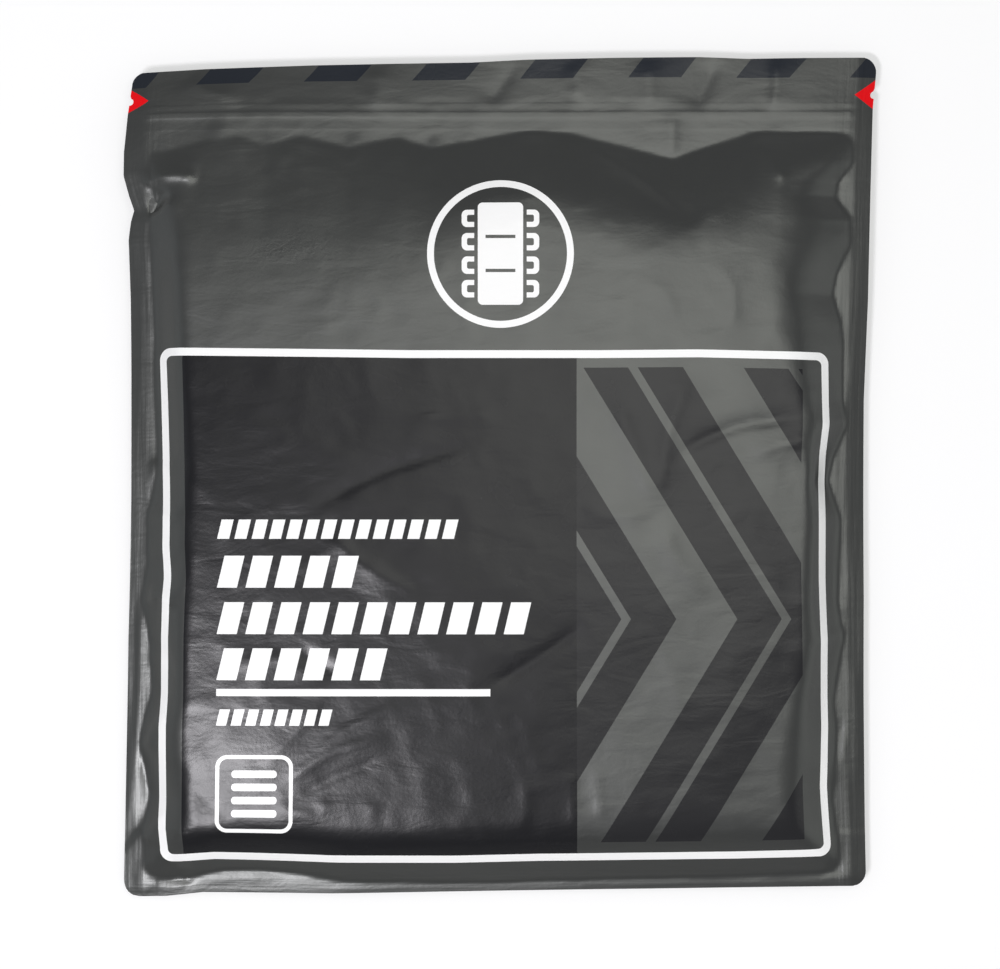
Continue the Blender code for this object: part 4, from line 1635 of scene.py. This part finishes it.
@dataclass
class CarrySheet:
    """Coated cloth, folded in three across its width and then in six along its length."""

    form: FilmForm
    width: float = 600 * MM
    length: float = 1200 * MM
    thickness: float = 0.2 * MM
    room_above: float = 1.3 * MM
    room_below: float = 0.2 * MM
    still_height: float = 8.6 * MM
    least_share: float = 0.2
    thirds: int = 3
    panels: int = 6
    third_radius: float = 0.26 * MM
    panel_radius: float = 1.74 * MM
    run_steps: int = 14
    third_steps: int = 8
    panel_steps: int = 12
    out_of_line: float = 0.8 * MM
    panel_noise: Noise = Noise(90 * MM, 31)
    across: BackAndForth = field(init=False)
    along: BackAndForth = field(init=False)
    bottom: float = field(init=False)
    first: float = field(init=False)
    last: float = field(init=False)
    finish: WovenFinish = field(
        default_factory=lambda: WovenFinish(
            # Cloth colour, then the painted shade in the hollows of its weave
            "coated_plain_weave_polyester", "#d9661f", "#b34a12", 0.6 * MM
        )
    )

    def __post_init__(self) -> None:
        """Work out the folds from the room that the folded solid takes."""
        low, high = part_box("carry_sheet")
        self.across = BackAndForth(self.width, self.thirds - 1, self.third_radius)
        self.along = BackAndForth(self.length, self.panels - 1, self.panel_radius)
        self.bottom = (low.y + high.y - self.along.run) / 2
        self.first = low.z + 2 * self.third_radius + self.thickness / 2
        self.last = self.first + 2 * (self.along.folds * self.panel_radius + self.third_radius)

    def build(self) -> Object:
        """Build the folded sheet and join it to the pouch."""
        columns = self.across.lines(self.run_steps, self.third_steps)
        rows = self.along.lines(self.run_steps, self.panel_steps)
        mesh = grid_mesh("folded_carry_sheet", columns, rows, self.place)
        piece = Sheet(mesh.name, mesh, self.thickness, self.finish.material()).build()
        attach(piece, Body.POUCH.value)
        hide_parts("carry_sheet")
        return piece

    def place(self, across: ndarray, along: ndarray) -> ndarray:
        """Place of the cloth at each flat place: its panels a little out of line."""
        x, lift, _ = self.across.follow(across)
        y, rise, turn = self.along.follow(along)
        offset = lift - 2 * self.third_radius
        shift = self.out_of_line * self.panel_noise.at(along, np.zeros_like(along))
        x = x - self.across.run / 2 + shift
        y = self.bottom + y - offset * np.sin(turn)
        height = self.first + rise + offset * np.cos(turn)
        return np.stack([x, y, self.pressed(x, y, height)], axis=1)

    def pressed(self, x: ndarray, y: ndarray, height: ndarray) -> ndarray:
        """Press the stack thinner where the pouch's films leave it less room."""
        above = self.form.level(x, y, front=True) - self.room_above - self.still_height
        below = self.still_height - self.form.level(x, y, front=False) - self.room_below
        least = self.least_share
        above_share = np.clip(above / (self.last - self.still_height), least, 1.0)
        below_share = np.clip(below / (self.still_height - self.first), least, 1.0)
        share = np.where(height > self.still_height, above_share, below_share)
        return self.still_height + (height - self.still_height) * share

    def gap_middle(self, gap: int) -> float:
        """Height of the middle of a gap between two panels, counted from the lowest."""
        return self.first + 2 * self.panel_radius * (gap + 0.5)

    def gap_at(self, height: float) -> int:
        """Return the gap whose middle is nearest to a height."""
        return round((height - self.first) / (2 * self.panel_radius) - 0.5)


@dataclass
class CarryHandles:
    """Webbing handles, each doubled and laid between two panels, its loop at the open end."""

    sheet: CarrySheet
    width: float = 25 * MM
    thickness: float = 0.7 * MM
    loop_radius: float = 0.45 * MM
    edge: float = 1.0 * MM
    count: int = 8
    run_steps: int = 4
    loop_steps: int = 8
    finish: WovenFinish = field(
        default_factory=lambda: WovenFinish(
            # Webbing colour, then the painted shade in the hollows of its weave
            "black_nylon_webbing", "#2a2a2c", "#0d0d0e", 1.2 * MM, 0.7
        )
    )

    def build(self) -> list[Object]:
        """Build every handle in the place of its solid."""
        webbing = self.finish.material()
        pieces = []
        for number in range(1, self.count + 1):
            node = f"carry_handle_{number}"
            low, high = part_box(node)
            pieces.append(self.handle(node, low, high, webbing))
        return pieces

    def handle(self, node: str, low: Vector, high: Vector, webbing: Material) -> Object:
        """Make one handle.

        Args:
            node: solid that it replaces.
            low: the solid's lowest corner.
            high: the solid's highest corner.
            webbing: finish of the strap.

        Returns:
            The finished piece.
        """
        end_out = self.loop_radius + self.thickness / 2
        leg = high.y - low.y - end_out
        strap = BackAndForth(2 * leg + pi * self.loop_radius, 1, self.loop_radius)
        gap = self.sheet.gap_at((low.z + high.z) / 2)
        loops_down = gap % 2 == 0
        middle = self.sheet.gap_middle(gap)

        def place(x: ndarray, distance: ndarray) -> ndarray:
            """Place of the strap's middle at each flat place."""
            along, rise, _ = strap.follow(distance)
            y = low.y + end_out + leg - along if loops_down else low.y + along
            z = middle - self.loop_radius + rise
            across = (low.x + high.x) / 2 + (-x if loops_down else x)
            return np.stack([across, y, self.sheet.pressed(across, y, z)], axis=1)

        half, inner = self.width / 2, self.width / 2 - self.edge
        columns = np.array([-half, -inner, 0.0, inner, half])
        rows = strap.lines(self.run_steps, self.loop_steps)
        name = node.replace("carry_handle", "webbing_handle")
        mesh = grid_mesh(name, columns, rows, place)
        piece = Sheet(name, mesh, self.thickness, webbing).build()
        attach(piece, Body.POUCH.value)
        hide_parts(node)
        return piece


@dataclass(frozen=True)
class SoftLight:
    """A studio light that faces the middle of the pouch: its size across and its depth."""

    name: str
    place: Triple
    size: Pair
    watts: float
    colour: Triple

    def build(self) -> Object:
        """Make the light."""
        light = bpy.data.lights.new(self.name, "AREA")
        light.shape = "RECTANGLE"
        light.size, light.size_y = self.size
        light.energy = self.watts
        light.color = self.colour
        lamp = add_object(self.name, light)
        lamp.location = self.place
        lamp.rotation_euler = (-Vector(self.place)).to_track_quat("-Z", "Y").to_euler()
        return lamp


@dataclass
class Studio:
    """Pale floor, soft lights and a camera that looks straight down."""

    camera_place: Triple = (0.84 * MM, -3.19 * MM, 940.3 * MM)
    focal_length: float = 100.0
    sensor_width: float = 36.0
    floor_radius: float = 3.0
    floor_steps: int = 72
    sweep_bend: float = 0.8
    sweep_height: float = 1.6
    sweep_steps: int = 9
    weld: float = 0.1 * MM
    floor_colour: str = "#c4c4c4"
    floor_glow: float = 0.45
    world_colour: Triple = (0.96, 0.98, 1.0)
    world_strength: float = 0.4
    lights: tuple[SoftLight, ...] = (
        SoftLight("overhead_softbox", (0.2, 0.15, 1.6), (0.76, 0.66), 5.1, (1.0, 1.0, 0.94)),
        SoftLight("lower_left_strip", (-0.34, -0.36, 1.2), (0.26, 0.12), 8.6, (0.98, 0.96, 1.0)),
        SoftLight("left_window", (-1.3, 0.1, 0.6), (1.0, 1.0), 1.1, (0.86, 0.93, 1.0)),
        SoftLight("right_window", (1.2, -0.1, 0.5), (0.8, 0.8), 1.2, (0.97, 1.0, 0.95)),
    )

    def build(self) -> None:
        """Set up the camera, the floor, the lights and the world."""
        self.camera()
        self.floor()
        for light in self.lights:
            light.build()
        self.world()
        bpy.context.scene.view_settings.view_transform = "Standard"

    def camera(self) -> None:
        """Put the camera straight above the pouch, where the photograph was taken from."""
        data = bpy.data.cameras.new("photo_camera")
        data.lens = self.focal_length
        data.sensor_width = self.sensor_width
        camera = add_object("photo_camera", data)
        camera.location = self.camera_place
        bpy.context.scene.camera = camera

    def floor(self) -> None:
        """Lay a round floor that curves up at its rim, white to the camera, with soft shadows."""
        mesh = self.floor_mesh()
        mesh.materials.append(self.paper())
        add_object("studio_floor", mesh)

    def floor_mesh(self) -> Mesh:
        """Turn the floor's profile about the middle."""
        shape = bmesh.new()
        bend = self.sweep_bend
        flat = self.floor_radius - bend
        profile = [(0.0, 0.0)]
        for turn in np.linspace(0.0, pi / 2, self.sweep_steps):
            profile.append((flat + bend * sin(turn), bend * (1 - cos(turn))))
        profile.append((self.floor_radius, self.sweep_height))
        points = [shape.verts.new((out, 0.0, up)) for out, up in profile]
        edges = [shape.edges.new(pair) for pair in zip(points, points[1:])]
        bmesh.ops.spin(
            shape, geom=points + edges, cent=(0, 0, 0), axis=(0, 0, 1), angle=2 * pi,
            steps=self.floor_steps, use_merge=True,
        )
        bmesh.ops.remove_doubles(shape, verts=shape.verts, dist=self.weld)
        bmesh.ops.recalc_face_normals(shape, faces=shape.faces)
        shape.normal_update()
        if min(shape.faces, key=lambda face: face.calc_center_median().length).normal.z < 0:
            bmesh.ops.reverse_faces(shape, faces=shape.faces)
        for face in shape.faces:
            face.smooth = True
        mesh = bpy.data.meshes.new("studio_floor")
        shape.to_mesh(mesh)
        shape.free()
        return mesh

    def paper(self) -> Material:
        """White paper: its glow keeps it bright to the camera and in reflections."""
        material, tree = new_material("white_paper_sweep")
        rays = add_node(tree, "LightPath").outputs
        seen = rays["Is Camera Ray"]
        for ray in ("Is Glossy Ray", "Is Transmission Ray"):
            seen = add_node(tree, "Math", [seen, rays[ray]], operation="MAXIMUM")
        strength = add_node(tree, "Math", [seen, self.floor_glow], operation="MULTIPLY")
        matt = add_node(tree, "BsdfDiffuse", {"Color": linear(self.floor_colour)})
        glow = add_node(tree, "Emission", {"Strength": strength})
        both = add_node(tree, "AddShader", [matt, glow])
        add_node(tree, "OutputMaterial", {"Surface": both})
        return material

    def world(self) -> None:
        """Surround the scene with an even pale light."""
        world = bpy.data.worlds.new("studio_world")
        world.use_nodes = True
        background = world.node_tree.nodes["Background"]
        background.inputs["Color"].default_value = (*self.world_colour, 1.0)
        background.inputs["Strength"].default_value = self.world_strength
        bpy.context.scene.world = world


def main() -> None:
    """Build the studio and every sub-assembly in order."""
    logging.basicConfig(level=logging.INFO, format="%(message)s")
    Studio().build()
    form = FilmForm(Pouch.from_frame())
    films = PouchFilms(form)
    pieces = films.build()
    pieces.append(BottomGusset(form, films.plain).build())
    zip_plastic = PlainFinish("extruded_polyethylene", "#8e8f92").material()
    pieces += ZipClosure(form, zip_plastic).build()
    sheet = CarrySheet(form)
    pieces.append(sheet.build())
    pieces += CarryHandles(sheet).build()
    for piece in pieces:
        log.info("%s: %d faces", piece.name, len(piece.data.polygons))


if __name__ == "__main__":
    main()
